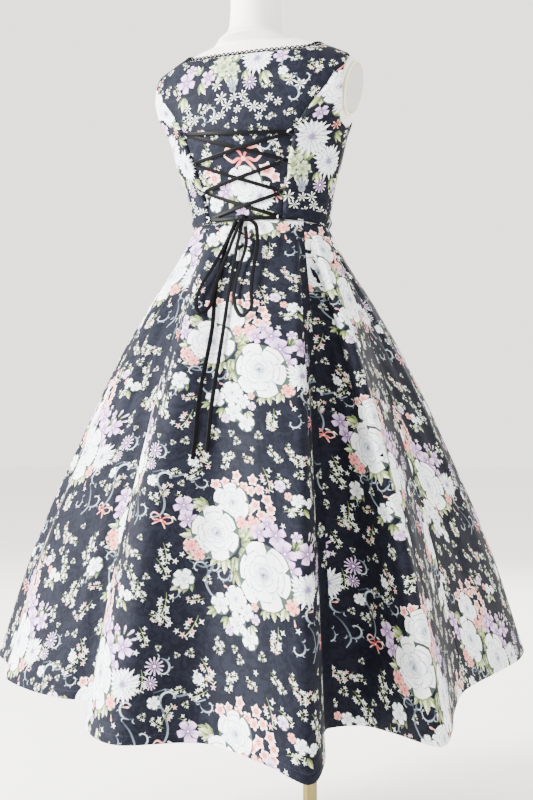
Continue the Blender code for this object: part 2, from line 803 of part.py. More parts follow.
def make_lace(front, name):
    """A strip of picot loops standing on the neckline's edge."""
    line = neck_ring(front)
    loops = (len(line) - 1) // 2
    tangent = np.gradient(line, axis=0)
    tangent /= np.linalg.norm(tangent, axis=1, keepdims=True)
    turn = -1 if front else 1
    away = np.stack([-tangent[:, 1], tangent[:, 0]], 1) * turn
    keys = np.arange(len(line))

    def spot(at, height):
        base = np.array([np.interp(at, keys, line[:, k]) for k in (0, 1)])
        side = np.array([np.interp(at, keys, away[:, k]) for k in (0, 1)])
        foot = bodice_point(*base, LACE_SINK)
        up = bodice_point(*(base + side / np.linalg.norm(side) * LACE_LEAN), LACE_SINK) - foot
        return foot + up / np.linalg.norm(up) * (height + LACE_GAP)

    points, faces = [], []

    def vertex(at, height):
        points.append(spot(at, height))
        return len(points) - 1

    end_gap = SEAM_GAP / LACE_PITCH
    foot = 2 * LACE_FOOT / LACE_PITCH
    low = vertex(end_gap, 0.0)
    high = vertex(end_gap, LACE_BAND)
    for k in range(loops):
        start, end = 2 * k, 2 * k + 2
        last = end - end_gap if k == loops - 1 else end
        inner_left = vertex(start + foot, LACE_BAND)
        inner_right = vertex(end - foot, LACE_BAND)
        peak = vertex(start + 1, LACE_PEAK)
        inner_peak = vertex(start + 1, LACE_INNER_PEAK)
        next_low = vertex(last, 0.0)
        next_high = vertex(last, LACE_BAND)
        faces.append((low, next_low, next_high, inner_right, inner_left, high))
        faces.append((high, inner_left, inner_peak, peak))
        faces.append((inner_right, next_high, peak, inner_peak))
        low, high = next_low, next_high
    if front:
        faces = [f[::-1] for f in faces]
    thicken(add_object(name, points, faces, "lace", smooth=False), LACE_THICK)


# ------------------------------------------------------------ lacing
def strip(name, left, right, thickness, finish="ribbon"):
    """A flat ribbon between two rows of points, thickened outwards."""
    count = len(left)
    points = np.concatenate([left, right])
    faces = [(k, k + 1, count + k + 1, count + k) for k in range(count - 1)]
    thicken(add_object(name, points, faces, finish), thickness, 1.0)


def taut_run(name, start, end, layer):
    """A run of ribbon over the centre back, between two cloth points."""
    start, end = np.array(start), np.array(end)
    count = max(2, int(round(np.linalg.norm(end - start) / RIBBON_STEP)) + 1)
    share = np.linspace(0, 1, count)
    line = start + (end - start) * share[:, None]
    line[:, 1] -= RIBBON_SAG * (4 * share * (1 - share)) * min(1.0, abs(end[0] - start[0]) / SAG_SPAN)
    along = (end - start) / np.linalg.norm(end - start)
    across = np.array([-along[1], along[0]]) * RIBBON_WIDTH / 2
    height = np.full(count, RIBBON_CLEAR + layer * RIBBON_LAYER)
    left = bodice_point(line[:, 0] + across[0], line[:, 1] + across[1], height)
    right = bodice_point(line[:, 0] - across[0], line[:, 1] - across[1], height)
    strip(name, right, left, RIBBON_THICK)


def anchor(z, right, back_off=0.0):
    """Cloth point on a princess seam at a height, drawn towards the centre."""
    princess = bodice_curve(BACK_PRINCESS, False, SEAM_FINE_STEP)
    heights = bodice_surface(princess[:, 0], princess[:, 1])[:, 2]
    girth = float(np.interp(z, heights, princess[:, 0])) + back_off
    rise = float(np.interp(z, heights, princess[:, 1]))
    if right:
        girth = math.pi * GIRTH_RADIUS - girth
    return girth, rise


def make_runs():
    """The bar across the top, the crossings, and the two runs to the knot."""
    off = RIBBON_END
    left = [anchor(row[0], False, off) for row in LOOP_PAIRS]
    right = [anchor(row[1], True, off) for row in LOOP_PAIRS]
    taut_run("lacing_bar_top", left[0], right[0], 2)
    for k in range(len(LOOP_PAIRS) - 1):
        taut_run(f"lacing_cross_{k + 1}_falling_right", left[k], right[k + 1], 0)
        taut_run(f"lacing_cross_{k + 1}_falling_left", left[k + 1], right[k], 1)
    centre = math.pi / 2 * GIRTH_RADIUS
    knot_rise = anchor(KNOT_Z, False)[1]
    reach = KNOT_SIZE[0] / 2 + KNOT_END_GAP
    taut_run("lacing_bar_low_left", left[-1], (centre - reach, knot_rise), 2)
    taut_run("lacing_bar_low_right", right[-1], (centre + reach, knot_rise), 2)


def make_loop(name, z, right):
    """A small loop of the dress's cloth that holds the ribbon at the seam."""
    side = -1 if right else 1
    girth, rise = anchor(z, right)
    turn = np.linspace(-math.pi / 2, math.pi / 2, LOOP_STEPS)
    reach = (LOOP_REACH + LOOP_ROOT) * np.cos(turn) - LOOP_ROOT
    path = np.stack([girth + side * reach, rise + LOOP_HALF * np.sin(turn)], 1)
    tangent = np.gradient(path, axis=0)
    tangent /= np.linalg.norm(tangent, axis=1, keepdims=True)
    across = np.stack([-tangent[:, 1], tangent[:, 0]], 1) * LOOP_WIDTH / 2
    lift = np.full(LOOP_STEPS, LOOP_LIFT)
    one = bodice_point(path[:, 0] + across[:, 0], path[:, 1] + across[:, 1], lift)
    two = bodice_point(path[:, 0] - across[:, 0], path[:, 1] - across[:, 1], lift)
    strip(name, two, one, LOOP_THICK, "printed_cloth")


def make_loops():
    """Four pairs of loops."""
    for k, (left_z, right_z) in enumerate(LOOP_PAIRS):
        make_loop(f"lacing_loop_{k + 1}_left", left_z, False)
        make_loop(f"lacing_loop_{k + 1}_right", right_z, True)


def make_knot():
    """The knot: a soft rounded lump of ribbon."""
    bpy.ops.mesh.primitive_uv_sphere_add(segments=12, ring_count=8, radius=0.5)
    made = bpy.context.object
    made.name = "lacing_knot"
    for owner in made.users_collection:
        owner.objects.unlink(made)
    parts.objects.link(made)
    made.scale = KNOT_SIZE
    for vertex in made.data.vertices:
        full = [math.copysign(abs(2 * c) ** KNOT_FULLNESS / 2, c) for c in vertex.co]
        vertex.co = Vector(full)
    rise = anchor(KNOT_Z, False)[1]
    spot = bodice_point(math.pi / 2 * GIRTH_RADIUS, rise, KNOT_CLEAR + KNOT_SIZE[1] / 2)
    made.location = tuple(map(float, spot))
    bpy.context.view_layer.update()
    made.data.transform(made.matrix_world)
    made.matrix_world.identity()
    made.data.materials.append(material("ribbon"))
    made.data.shade_smooth()


def skirt_back_y(x, z):
    """Depth of the skirt's back centre at a side and height."""
    _, first, last = GORES[0]
    place = np.linspace(first, last - 2, 160)
    down = np.clip((WAIST_Z - z) / (WAIST_Z - HEM_Z), 0.0, 1.0)
    row = skirt_surface(place, np.full(len(place), down))
    order = np.argsort(row[:, 0])
    return float(np.interp(x, row[order, 0], row[order, 1]))


def hanging_points(route, lift):
    """Middle line and its normals for a ribbon lying over the skirt."""
    line = resample(route, RIBBON_STEP)
    middle, normals = [], []
    step = SLOPE_STEP
    for x, z in line:
        y = skirt_back_y(x, min(z, WAIST_Z))
        slope_x = (skirt_back_y(x + step, z) - skirt_back_y(x - step, z)) / (2 * step)
        slope_z = (skirt_back_y(x, z + step) - skirt_back_y(x, z - step)) / (2 * step)
        normal = np.array([-slope_x, 1.0, -slope_z])
        normal /= np.linalg.norm(normal)
        middle.append(np.array([x, y, z]) + normal * lift)
        normals.append(normal)
    return np.array(middle), np.array(normals)


def hanging_ribbon(name, route, lift):
    """A free ribbon from the knot."""
    middle, normals = hanging_points(route, lift)
    tangent = np.gradient(middle, axis=0)
    across = np.cross(tangent, normals)
    across /= np.linalg.norm(across, axis=1, keepdims=True)
    left = middle - across * RIBBON_WIDTH / 2
    right = middle + across * RIBBON_WIDTH / 2
    strip(name, right, left, RIBBON_THICK)


def make_free_ribbons():
    """Two long tails and two drop loops."""
    hanging_ribbon("ribbon_tail_left", LEFT_TAIL, FREE_LIFTS["left_tail"])
    hanging_ribbon("ribbon_tail_right", RIGHT_TAIL, FREE_LIFTS["right_tail"])
    hanging_ribbon("ribbon_loop_left", LEFT_LOOP, FREE_LIFTS["left_loop"])
    hanging_ribbon("ribbon_loop_right", RIGHT_LOOP, FREE_LIFTS["right_loop"])


# ------------------------------------------------------------ dress form
def shoulder_ring(z, inset):
    """Level ring of the form between the chest and the neck."""
    half, back, front, centre = body_section(CHEST_Z, inset)
    side = np.linspace(float(half), 0.0, 200)
    half_here = float(np.interp(z, ridge_height(side, inset), side))
    beta = np.arange(FORM_RING) * 2 * math.pi / FORM_RING
    x = half_here * np.cos(beta)
    depth = np.where(np.sin(beta) > 0, back, front) * np.sqrt(np.maximum(0, 1 - (x / half) ** 2))
    y = centre + np.sign(np.sin(beta)) * depth
    share = np.clip((z - CHEST_Z) / (ridge_height(x, inset) - CHEST_Z), 0, 1)
    y = RIDGE_Y + (y - RIDGE_Y) * np.sqrt(1 - share**2)
    return np.stack([x, y, np.full(FORM_RING, z)], 1)


def level_ring(z, section):
    """Level ring of an egg-shaped section."""
    beta = np.arange(FORM_RING) * 2 * math.pi / FORM_RING
    x, y = section_point(beta, section)
    return np.stack([x, y, np.full(FORM_RING, z)], 1)


def make_form():
    """The form: rings from the hips over the shoulders to the neck, one closed body."""
    inset = CLOTH + FORM_GAP
    rings = [level_ring(row[0], row[1:]) for row in FORM_HIPS]
    rings += [level_ring(z, body_section(z, inset)) for z in FORM_LEVELS]
    rings += [shoulder_ring(z, inset) for z in FORM_SHOULDER_LEVELS]
    rings += [level_ring(row[0], (row[1], row[2], row[2], row[3])) for row in NECK]
    points = np.concatenate(rings)
    # The shoulder ends are flat, where the arm plates sit.
    reach = PLATE_X + (points[:, 2] - PLATE_Z) * math.tan(PLATE_TILT)
    reach = np.where(points[:, 2] > PLATE_LOW_Z, reach, 1.0)
    points[:, 0] = np.clip(points[:, 0], -reach, reach)
    faces = grid_faces(len(rings), FORM_RING, closed=True)
    faces.append(tuple(range(FORM_RING))[::-1])
    top = (len(rings) - 1) * FORM_RING
    faces.append(tuple(range(top, top + FORM_RING)))
    add_object("form_torso", points, faces, "form")


def add_primitive(name, finish, bevel=0.0):
    """Names the object just added, moves it to the dress and gives its finish."""
    made = bpy.context.object
    made.name = name
    for owner in made.users_collection:
        owner.objects.unlink(made)
    parts.objects.link(made)
    made.data.materials.append(material(finish))
    if bevel:
        round_edges = made.modifiers.new("rounded", "BEVEL")
        round_edges.width = bevel
        round_edges.segments = 1
        round_edges.limit_method = "ANGLE"
    made.data.shade_smooth()
    made.data.set_sharp_from_angle(angle=TURNED_SHARP)


def upright(name, radius, height, bottom, place, bevel=0.0):
    """An upright cylinder of the stand."""
    bpy.ops.mesh.primitive_cylinder_add(
        vertices=ROUND_SIDES,
        radius=radius,
        depth=height,
        location=(*place, bottom + height / 2),
    )
    add_primitive(name, "brass", bevel)


def make_arm_plates():
    """Oval plates with raised rims on the form's flat shoulder ends."""
    for side, word in ((1, "left"), (-1, "right")):
        normal = Vector((side * math.cos(PLATE_TILT), 0, -math.sin(PLATE_TILT)))
        seat = Vector((side * PLATE_X, PLATE_Y, PLATE_Z))
        turn = normal.to_track_quat("Z", "Y")
        centre = seat + normal * (SEAM_GAP + PLATE_THICK / 2)
        for kind, finish in (("plate", "form"), ("rim", "rim")):
            if kind == "plate":
                bpy.ops.mesh.primitive_cylinder_add(vertices=ROUND_SIDES, radius=1, depth=PLATE_THICK)
                width, height = PLATE_HALF_DEPTH, PLATE_HALF_HEIGHT
            else:
                clear = RIM_RADIUS + SEAM_GAP
                bpy.ops.mesh.primitive_torus_add(
                    major_segments=ROUND_SIDES,
                    minor_segments=RIM_SIDES,
                    major_radius=1,
                    minor_radius=RIM_RADIUS / PLATE_HALF_HEIGHT,
                )
                width, height = PLATE_HALF_DEPTH + clear, PLATE_HALF_HEIGHT + clear
            made = bpy.context.object
            for vertex in made.data.vertices:
                if kind == "rim":
                    flat = Vector((vertex.co.x, vertex.co.y, 0))
                    ring = flat.normalized()
                    out = (flat.length - 1) * PLATE_HALF_HEIGHT
                    vertex.co = Vector((
                        ring.x * (width + out),
                        ring.y * (height + out),
                        vertex.co.z * PLATE_HALF_HEIGHT,
                    ))
                else:
                    vertex.co.x *= width
                    vertex.co.y *= height
            made.rotation_euler = turn.to_euler()
            made.location = centre
            add_primitive(f"form_arm_{kind}_{word}", finish, PLATE_BEVEL if kind == "plate" else 0.0)


def make_stand():
    """Collar under the form, pole, socket and base plate."""
    collar_bottom = FORM_HIPS[0][0] - SEAM_GAP - COLLAR_HEIGHT
    socket_bottom = BASE_THICK + SEAM_GAP
    pole_bottom = socket_bottom + SOCKET_HEIGHT + SEAM_GAP
    pole_height = collar_bottom - SEAM_GAP - pole_bottom
    pole = (POLE_X, POLE_Y)
    upright("stand_base", BASE_RADIUS, BASE_THICK, 0.0, (0.0, 0.0), BASE_BEVEL)
    upright("stand_socket", SOCKET_RADIUS, SOCKET_HEIGHT, socket_bottom, pole, STAND_BEVEL)
    upright("stand_pole", POLE_RADIUS, pole_height, pole_bottom, pole)
    upright("stand_collar", COLLAR_RADIUS, COLLAR_HEIGHT, collar_bottom, pole, STAND_BEVEL)


# ------------------------------------------------------------ main
for leftover in list(bpy.data.objects):
    bpy.data.objects.remove(leftover, do_unlink=True)
parts = new_collection("pinafore_dress_on_form")
make_bodice()
make_lace(False, "neck_lace_back")
make_lace(True, "neck_lace_front")
make_skirt()
make_runs()
make_loops()
make_knot()
make_free_ribbons()
make_form()
make_arm_plates()
make_stand()
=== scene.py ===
import math

import bpy
import numpy as np
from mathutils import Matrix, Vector
from mathutils.geometry import delaunay_2d_cdt


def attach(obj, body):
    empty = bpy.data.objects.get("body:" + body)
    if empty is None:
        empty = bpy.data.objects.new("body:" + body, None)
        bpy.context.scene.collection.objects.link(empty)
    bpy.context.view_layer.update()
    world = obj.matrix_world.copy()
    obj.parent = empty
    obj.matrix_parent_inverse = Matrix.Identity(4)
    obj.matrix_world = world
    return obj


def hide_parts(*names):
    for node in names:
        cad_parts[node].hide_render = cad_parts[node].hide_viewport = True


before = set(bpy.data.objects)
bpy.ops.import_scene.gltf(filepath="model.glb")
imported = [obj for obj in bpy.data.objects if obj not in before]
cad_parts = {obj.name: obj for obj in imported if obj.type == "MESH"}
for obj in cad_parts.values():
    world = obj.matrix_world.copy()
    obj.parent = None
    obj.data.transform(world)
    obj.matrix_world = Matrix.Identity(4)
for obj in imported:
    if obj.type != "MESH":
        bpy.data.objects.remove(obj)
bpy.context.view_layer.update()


# curves through short tables
def smoothValue(keys, values, at):
    keys, values = np.asarray(keys, float), np.asarray(values, float)
    slopes = np.gradient(values, keys)
    at = np.clip(at, keys[0], keys[-1])
    i = np.clip(np.searchsorted(keys, at) - 1, 0, len(keys) - 2)
    step = keys[i + 1] - keys[i]
    s = (at - keys[i]) / step
    start = (2 * s**3 - 3 * s**2 + 1) * values[i] + (s**3 - 2 * s**2 + s) * step * slopes[i]
    return start + (3 * s**2 - 2 * s**3) * values[i + 1] + (s**3 - s**2) * step * slopes[i + 1]


def smoothStep(s):
    s = np.clip(s, 0.0, 1.0)
    return s * s * (3 - 2 * s)


def lengthsTo(points):  # from the first point to each, along the line
    return np.r_[0, np.cumsum(np.linalg.norm(np.diff(points, axis=0), axis=1))]


def evenly(line, lengths, step):
    where = np.linspace(0, lengths[-1], max(2, int(round(lengths[-1] / step)) + 1))
    return np.stack([np.interp(where, lengths, line[:, k]) for k in range(line.shape[1])], 1)


def resample(points, step):
    points = np.asarray(points, float)
    along = lengthsTo(points)
    fine = np.linspace(0, along[-1], 40 * len(points))
    curve = np.stack([smoothValue(along, points[:, k], fine) for k in range(points.shape[1])], 1)
    return evenly(curve, lengthsTo(curve), step)


def column(table, k):
    return np.array([row[k] for row in table])


def unit(vectors):
    return vectors / np.maximum(np.linalg.norm(vectors, axis=-1, keepdims=True), 1e-12)


# camera, at the photo's place: behind the dress, level with the middle of the picture
photoView = {"lens": 59.0, "place": (-0.972, 2.0845, 0.815), "turn": 205.0, "shift": 0.0031}
lens = bpy.data.cameras.new("photoView")
lens.lens, lens.sensor_width, lens.shift_x = photoView["lens"], 36.0, photoView["shift"]
camera = bpy.data.objects.new("photoView", lens)
camera.location = photoView["place"]
camera.rotation_euler = (math.radians(90), 0, math.radians(photoView["turn"]))
bpy.context.scene.collection.objects.link(camera)
bpy.context.scene.camera = camera
print("camera set")


# the worn shape of the dress, in metres
dress = {
    "waist": 1.12, "waistDrop": 0.01, "hem": 0.34, "chest": 1.335, "underarm": 1.272,
    "ridgeDepth": 0.03, "ridgeInner": 0.127, "ridgeOuter": 0.172, "ridgeTop": 1.4185,
    "ridgeSlope": 0.48, "girthRadius": 0.13, "chestRise": 0.215, "wall": 0.0018, "seam": 0.0003,
}
bodyRows = (
    # height, half width, back depth, front depth, centre
    (1.095, 0.124, 0.076, 0.096, 0.0135),
    (1.12, 0.1245, 0.074, 0.096, 0.0145),
    (1.157, 0.1325, 0.071, 0.096, 0.018),
    (1.19, 0.1415, 0.075, 0.098, 0.0225),
    (1.215, 0.15, 0.0815, 0.102, 0.0255),
    (1.245, 0.1575, 0.09, 0.11, 0.0265),
    (1.27, 0.165, 0.093, 0.111, 0.0275),
    (1.29, 0.177, 0.092, 0.108, 0.028),
    (1.31, 0.193, 0.089, 0.103, 0.0285),
    (1.335, 0.21, 0.085, 0.098, 0.029),
)
skirtFlare = (
    # share of the way down, share of the flare
    (0.0, 0.0), (0.06, 0.072), (0.15, 0.2), (0.24, 0.315), (0.35, 0.44),
    (0.5, 0.59), (0.72, 0.797), (1.0, 1.0),
)
skirtFolds = (
    # angle at the hem, radius at the hem, angle at the waist, drop of the hem
    (67.0, 0.367, 56.0, 0.0), (82.0, 0.475, 61.0, 0.0), (92.5, 0.536, 68.0, 0.0),
    (105.0, 0.494, 82.0, 0.0), (115.0, 0.562, 100.0, 0.008), (120.6, 0.597, 134.0, 0.026),
    (123.6, 0.545, 138.0, 0.012), (126.2, 0.44, 141.0, 0.0), (129.5, 0.411, 144.0, 0.0),
    (135.5, 0.416, 147.5, 0.0), (138.2, 0.47, 150.5, 0.0), (140.5, 0.56, 154.0, 0.0),
    (148.0, 0.497, 159.0, 0.0), (159.0, 0.418, 165.0, 0.0), (180.0, 0.364, 180.0, 0.0),
    (205.0, 0.414, 192.0, 0.0), (219.0, 0.488, 200.0, 0.0), (231.0, 0.546, 208.0, 0.0),
    (242.0, 0.495, 215.0, 0.0), (252.0, 0.43, 224.0, 0.0), (262.0, 0.555, 234.0, 0.0),
    (273.0, 0.49, 270.0, 0.0), (285.0, 0.56, 304.0, 0.0), (297.0, 0.43, 316.0, 0.0),
    (312.0, 0.555, 328.0, 0.0), (327.0, 0.45, 344.0, 0.0), (340.0, 0.43, 360.0, 0.0),
    (363.0, 0.528, 369.0, 0.0), (378.0, 0.464, 379.0, 0.0), (393.0, 0.444, 388.0, 0.0),
    (407.0, 0.413, 398.0, 0.0), (418.0, 0.387, 407.0, 0.0),
)


def waistHeight(angle):
    return dress["waist"] - dress["waistDrop"] * (1 - np.sin(angle))


def bodySection(z, inset=0.0):
    heights = column(bodyRows, 0)
    half, back, front, centre = (smoothValue(heights, column(bodyRows, k), z) for k in (1, 2, 3, 4))
    return half - inset, back - inset, front - inset, centre


def sectionPoint(angle, section):
    half, back, front, centre = section
    return half * np.cos(angle), centre + np.where(np.sin(angle) > 0, back, front) * np.sin(angle)


def ridgeHeight(x, inset=0.0):
    out = np.abs(x) - dress["ridgeInner"]
    eased = np.where(out < 0, out * (1 + 0.5 * out / dress["ridgeInner"]), out)
    return dress["ridgeTop"] - inset * math.hypot(1, dress["ridgeSlope"]) - dress["ridgeSlope"] * eased


def shoulderRise(x, y):
    up = ridgeHeight(x) - dress["chest"]
    return math.pi / 2 * np.sqrt((up * up + (y - dress["ridgeDepth"]) ** 2) / 2)


def bodiceSurface(girth, rise):
    angle = np.asarray(girth, float) / dress["girthRadius"]
    rise = np.asarray(rise, float)
    low = np.minimum(rise / dress["chestRise"], 1.0)
    z = waistHeight(angle) + (dress["chest"] - waistHeight(angle)) * low
    x, y = sectionPoint(angle, bodySection(z))
    turn = np.clip((rise - dress["chestRise"]) / shoulderRise(x, y), 0.0, 1.0) * math.pi / 2
    z = z + (ridgeHeight(x) - dress["chest"]) * np.sin(turn)
    y = dress["ridgeDepth"] + (y - dress["ridgeDepth"]) * np.where(turn > 0, np.cos(turn), 1.0)
    return np.stack([x, y, z], -1)


def ridgeRise(girth):
    x, y = sectionPoint(np.asarray(girth, float) / dress["girthRadius"], bodySection(dress["chest"]))
    return dress["chestRise"] + shoulderRise(x, y)


def bodicePoint(girth, rise, out=0.0):
    girth, rise = np.asarray(girth, float), np.asarray(rise, float)
    reach = 0.0015
    safe = np.minimum(rise, ridgeRise(girth) - reach * 1.1)
    along = bodiceSurface(girth + reach, safe) - bodiceSurface(girth - reach, safe)
    up = bodiceSurface(girth, safe + reach) - bodiceSurface(girth, safe - reach)
    return bodiceSurface(girth, rise) + unit(np.cross(along, up)) * np.asarray(out)[..., None]


def bodicePlace(x, z, front=False):
    sign = -1 if front else 1
    level = min(z, dress["chest"])
    angle = sign * math.acos(min(1.0, x / float(bodySection(level)[0])))
    if z <= dress["chest"]:
        bottom = float(waistHeight(angle))
        rise = dress["chestRise"] * (z - bottom) / (dress["chest"] - bottom)
    else:
        share = (z - dress["chest"]) / (float(ridgeHeight(x)) - dress["chest"])
        top = float(ridgeRise(angle * dress["girthRadius"])) - dress["chestRise"]
        rise = dress["chestRise"] + top * math.asin(min(1.0, share)) / (math.pi / 2)
    return angle * dress["girthRadius"], max(0.0, rise)


def foldCurve(k, place):
    rows = len(skirtFolds)
    values = column(skirtFolds, k)
    turn = 360.0 if k in (0, 2) else 0.0
    return smoothValue(np.arange(-rows, 2 * rows), np.r_[values - turn, values, values + turn], place)


def hemPoints(place):
    rows = len(skirtFolds)
    angle, radius = np.radians(column(skirtFolds, 0)), column(skirtFolds, 1)
    keys = np.arange(-rows, 2 * rows)
    return [smoothValue(keys, np.tile(radius * turn(angle), 3), place) for turn in (np.cos, np.sin)]


def skirtSurface(place, down):
    place, down = np.asarray(place, float), np.asarray(down, float)
    angle = np.radians(foldCurve(2, place))
    top = waistHeight(angle) - dress["seam"]
    waistX, waistY = sectionPoint(angle, bodySection(waistHeight(angle)))
    hemX, hemY = hemPoints(place)
    out = smoothValue(column(skirtFlare, 0), column(skirtFlare, 1), down)
    z = top + (dress["hem"] - foldCurve(3, place) - top) * down
    return np.stack([waistX + (hemX - waistX) * out, waistY + (hemY - waistY) * out, z], -1)


# free ribbons: routes over the back of the skirt, from the knot down
ribbon = {"width": 0.0068, "thick": 0.0008, "pressed": 0.8, "cup": -0.0002, "layer": 0.0012, "clear": 0.0013,
          "sag": 0.004, "step": 0.0025}
freeRibbons = {
    "ribbonTailLeft": {"lift": 0.003, "end": "bare", "route": (
        (0.007, 1.1156), (0.0135, 1.078), (0.011, 1.0294), (0.004, 0.99), (-0.0105, 0.9274),
        (-0.0165, 0.8783), (-0.02, 0.84), (-0.025, 0.7995), (-0.0321, 0.7583), (-0.0367, 0.724))},
    "ribbonTailRight": {"lift": 0.0045, "end": "bare", "route": (
        (-0.0045, 1.115), (-0.0084, 1.0694), (-0.015, 1.028), (-0.02, 0.995), (-0.0302, 0.927),
        (-0.036, 0.8766), (-0.0396, 0.84), (-0.044, 0.7995), (-0.0493, 0.7644), (-0.0534, 0.7359))},
    "ribbonLoopLeft": {"lift": 0.006, "end": "object", "route": (
        (0.007, 1.115), (0.0142, 1.0776), (0.023, 1.0295), (0.0283, 0.9959), (0.0269, 0.9698),
        (0.0133, 0.9508), (0.0034, 0.9627), (0.0051, 0.9815), (0.0064, 1.0272), (0.0035, 1.0735),
        (-0.0016, 1.115))},
    "ribbonLoopRight": {"lift": 0.0075, "end": "object", "route": (
        (-0.0085, 1.1138), (-0.02, 1.1125), (-0.031, 1.105), (-0.0405, 1.0852), (-0.0528, 1.0401),
        (-0.0588, 1.0115), (-0.0663, 0.9855), (-0.0749, 0.955), (-0.0656, 0.9437), (-0.0505, 0.9542),
        (-0.0382, 0.9732), (-0.031, 1.006), (-0.03, 1.0269), (-0.0266, 1.0698), (-0.015, 1.102))},
}


def linear(colour):  # from the shade a painter mixes to the shade of light
    return tuple(c / 12.92 if c <= 0.04045 else ((c + 0.055) / 1.055) ** 2.4 for c in colour)


def newObject(name, points, faces, material, smooth=True):
    mesh = bpy.data.meshes.new(name)
    mesh.from_pydata([tuple(map(float, p)) for p in points], [], [tuple(f) for f in faces])
    mesh.update()
    mesh.materials.append(material)
    if smooth:
        mesh.shade_smooth()
    made = bpy.data.objects.new(name, mesh)
    bpy.context.scene.collection.objects.link(made)
    return made


def placed(made):
    # each piece is named after the solid it replaces: skirtBackCentre for skirt_back_centre
    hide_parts("".join("_" + c.lower() if c.isupper() or c.isdigit() else c for c in made.name))
    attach(made, "root")


def ringsAlong(middle, across, up, wide, thick, ring):
    # points round a line, ring by ring
    angle = 2 * math.pi * np.arange(ring) / ring
    aside, lift = wide * np.cos(angle)[:, None], thick * np.sin(angle)[:, None]
    return (middle[:, None] + across[:, None] * aside + up[:, None] * lift).reshape(-1, 3)


def ringFaces(rows, ring):
    faces = []
    for r in range(rows - 1):
        for c in range(ring):
            d = (c + 1) % ring
            faces.append((r * ring + c, r * ring + d, (r + 1) * ring + d, (r + 1) * ring + c))
    return faces


def tubeFaces(rows, ring):  # rings joined one to the next, and a face over each end
    last = (rows - 1) * ring
    return ringFaces(rows, ring) + [tuple(range(ring))[::-1], tuple(range(last, last + ring))]


def finishes(name, settings):
    made = bpy.data.materials.new(name)
    made.use_nodes = True
    tree = made.node_tree
    shader = tree.nodes["Principled BSDF"]
    for socket, value in settings.items():
        shader.inputs[socket].default_value = value
    return made, tree, shader


def addNode(tree, kind, settings=None, inputs=None):
    node = tree.nodes.new(kind)
    for key, value in (settings or {}).items():
        setattr(node, key, value)
    for key, value in (inputs or {}).items():
        node.inputs[key].default_value = value
    return node


def mixed(tree, factor, one, two, kind="MIX"):
    node = addNode(tree, "ShaderNodeMix", {"data_type": "RGBA", "blend_type": kind})
    for socket, value in ((node.inputs[0], factor), (node.inputs[6], one), (node.inputs[7], two)):
        if isinstance(value, bpy.types.NodeSocket):
            tree.links.new(value, socket)
        else:
            socket.default_value = value
    return node.outputs[2]


def tinted(tree, factor, one, two, shader):
    # the colour between two shades, on the shader
    shade = mixed(tree, factor, (*linear(one), 1), (*linear(two), 1))
    tree.links.new(shade, shader.inputs["Base Color"])


def clothPlace(tree):
    return addNode(tree, "ShaderNodeUVMap", {"uv_map": "cloth"}).outputs[0]


def solidPlace(tree):
    return addNode(tree, "ShaderNodeTexCoord").outputs["Object"]


def noise(tree, where, scale, detail, distortion=0.0):
    node = addNode(tree, "ShaderNodeTexNoise", {},
                   {"Scale": scale, "Detail": detail, "Distortion": distortion})
    tree.links.new(where, node.inputs["Vector"])
    return node.outputs["Fac"]


def bands(tree, where, direction, scale, distortion):
    node = addNode(tree, "ShaderNodeTexWave", {"bands_direction": direction},
                   {"Scale": scale, "Distortion": distortion})
    tree.links.new(where, node.inputs["Vector"])
    return node.outputs["Fac"]


def ranged(tree, source, fromLow, fromHigh, toLow, toHigh):
    node = addNode(tree, "ShaderNodeMapRange", {}, {1: fromLow, 2: fromHigh, 3: toLow, 4: toHigh})
    tree.links.new(source, node.inputs[0])
    return node.outputs[0]


def bumped(tree, shader, height, strength, distance, under=None):
    node = addNode(tree, "ShaderNodeBump", {}, {"Strength": strength, "Distance": distance})
    tree.links.new(height, node.inputs["Height"])
    if under:
        tree.links.new(under, node.inputs["Normal"])
    tree.links.new(node.outputs[0], shader.inputs["Normal"])
    return node.outputs[0]


# black satin: fine ribs across the ribbon, soft shine
satinLook = {"dark": (0.012, 0.012, 0.016), "pale": (0.032, 0.032, 0.042), "ribs": 190.0, "clouds": 60.0,
             "roughness": 0.42, "shine": 0.05, "raised": 0.25, "ribHeight": 0.0002}


def makeSatin():
    made, tree, shader = finishes("blackSatin", {"Roughness": satinLook["roughness"],
                                                 "Specular IOR Level": satinLook["shine"]})
    where = clothPlace(tree)
    ribs = bands(tree, where, "Y", satinLook["ribs"], 0.6)
    cloudy = noise(tree, where, satinLook["clouds"], 3.0)
    tinted(tree, cloudy, satinLook["dark"], satinLook["pale"], shader)
    bumped(tree, shader, ribs, satinLook["raised"], satinLook["ribHeight"])
    return made


satin = makeSatin()


def setFlat(mesh, spots):  # cloth coordinates, in metres, as the mesh's map
    flat = mesh.uv_layers.new(name="cloth")
    corners = np.zeros(len(mesh.loops), np.int32)
    mesh.loops.foreach_get("vertex_index", corners)
    flat.data.foreach_set("uv", np.asarray(spots, np.float32)[corners].ravel())


ribbonProfile = (
    # side and height, as shares of the width and the thickness
    (-0.5, 0.0), (-0.46, 0.42), (-0.22, 0.5), (0.22, 0.5), (0.46, 0.42),
    (0.5, 0.0), (0.46, -0.42), (0.22, -0.5), (-0.22, -0.5), (-0.46, -0.42),
)


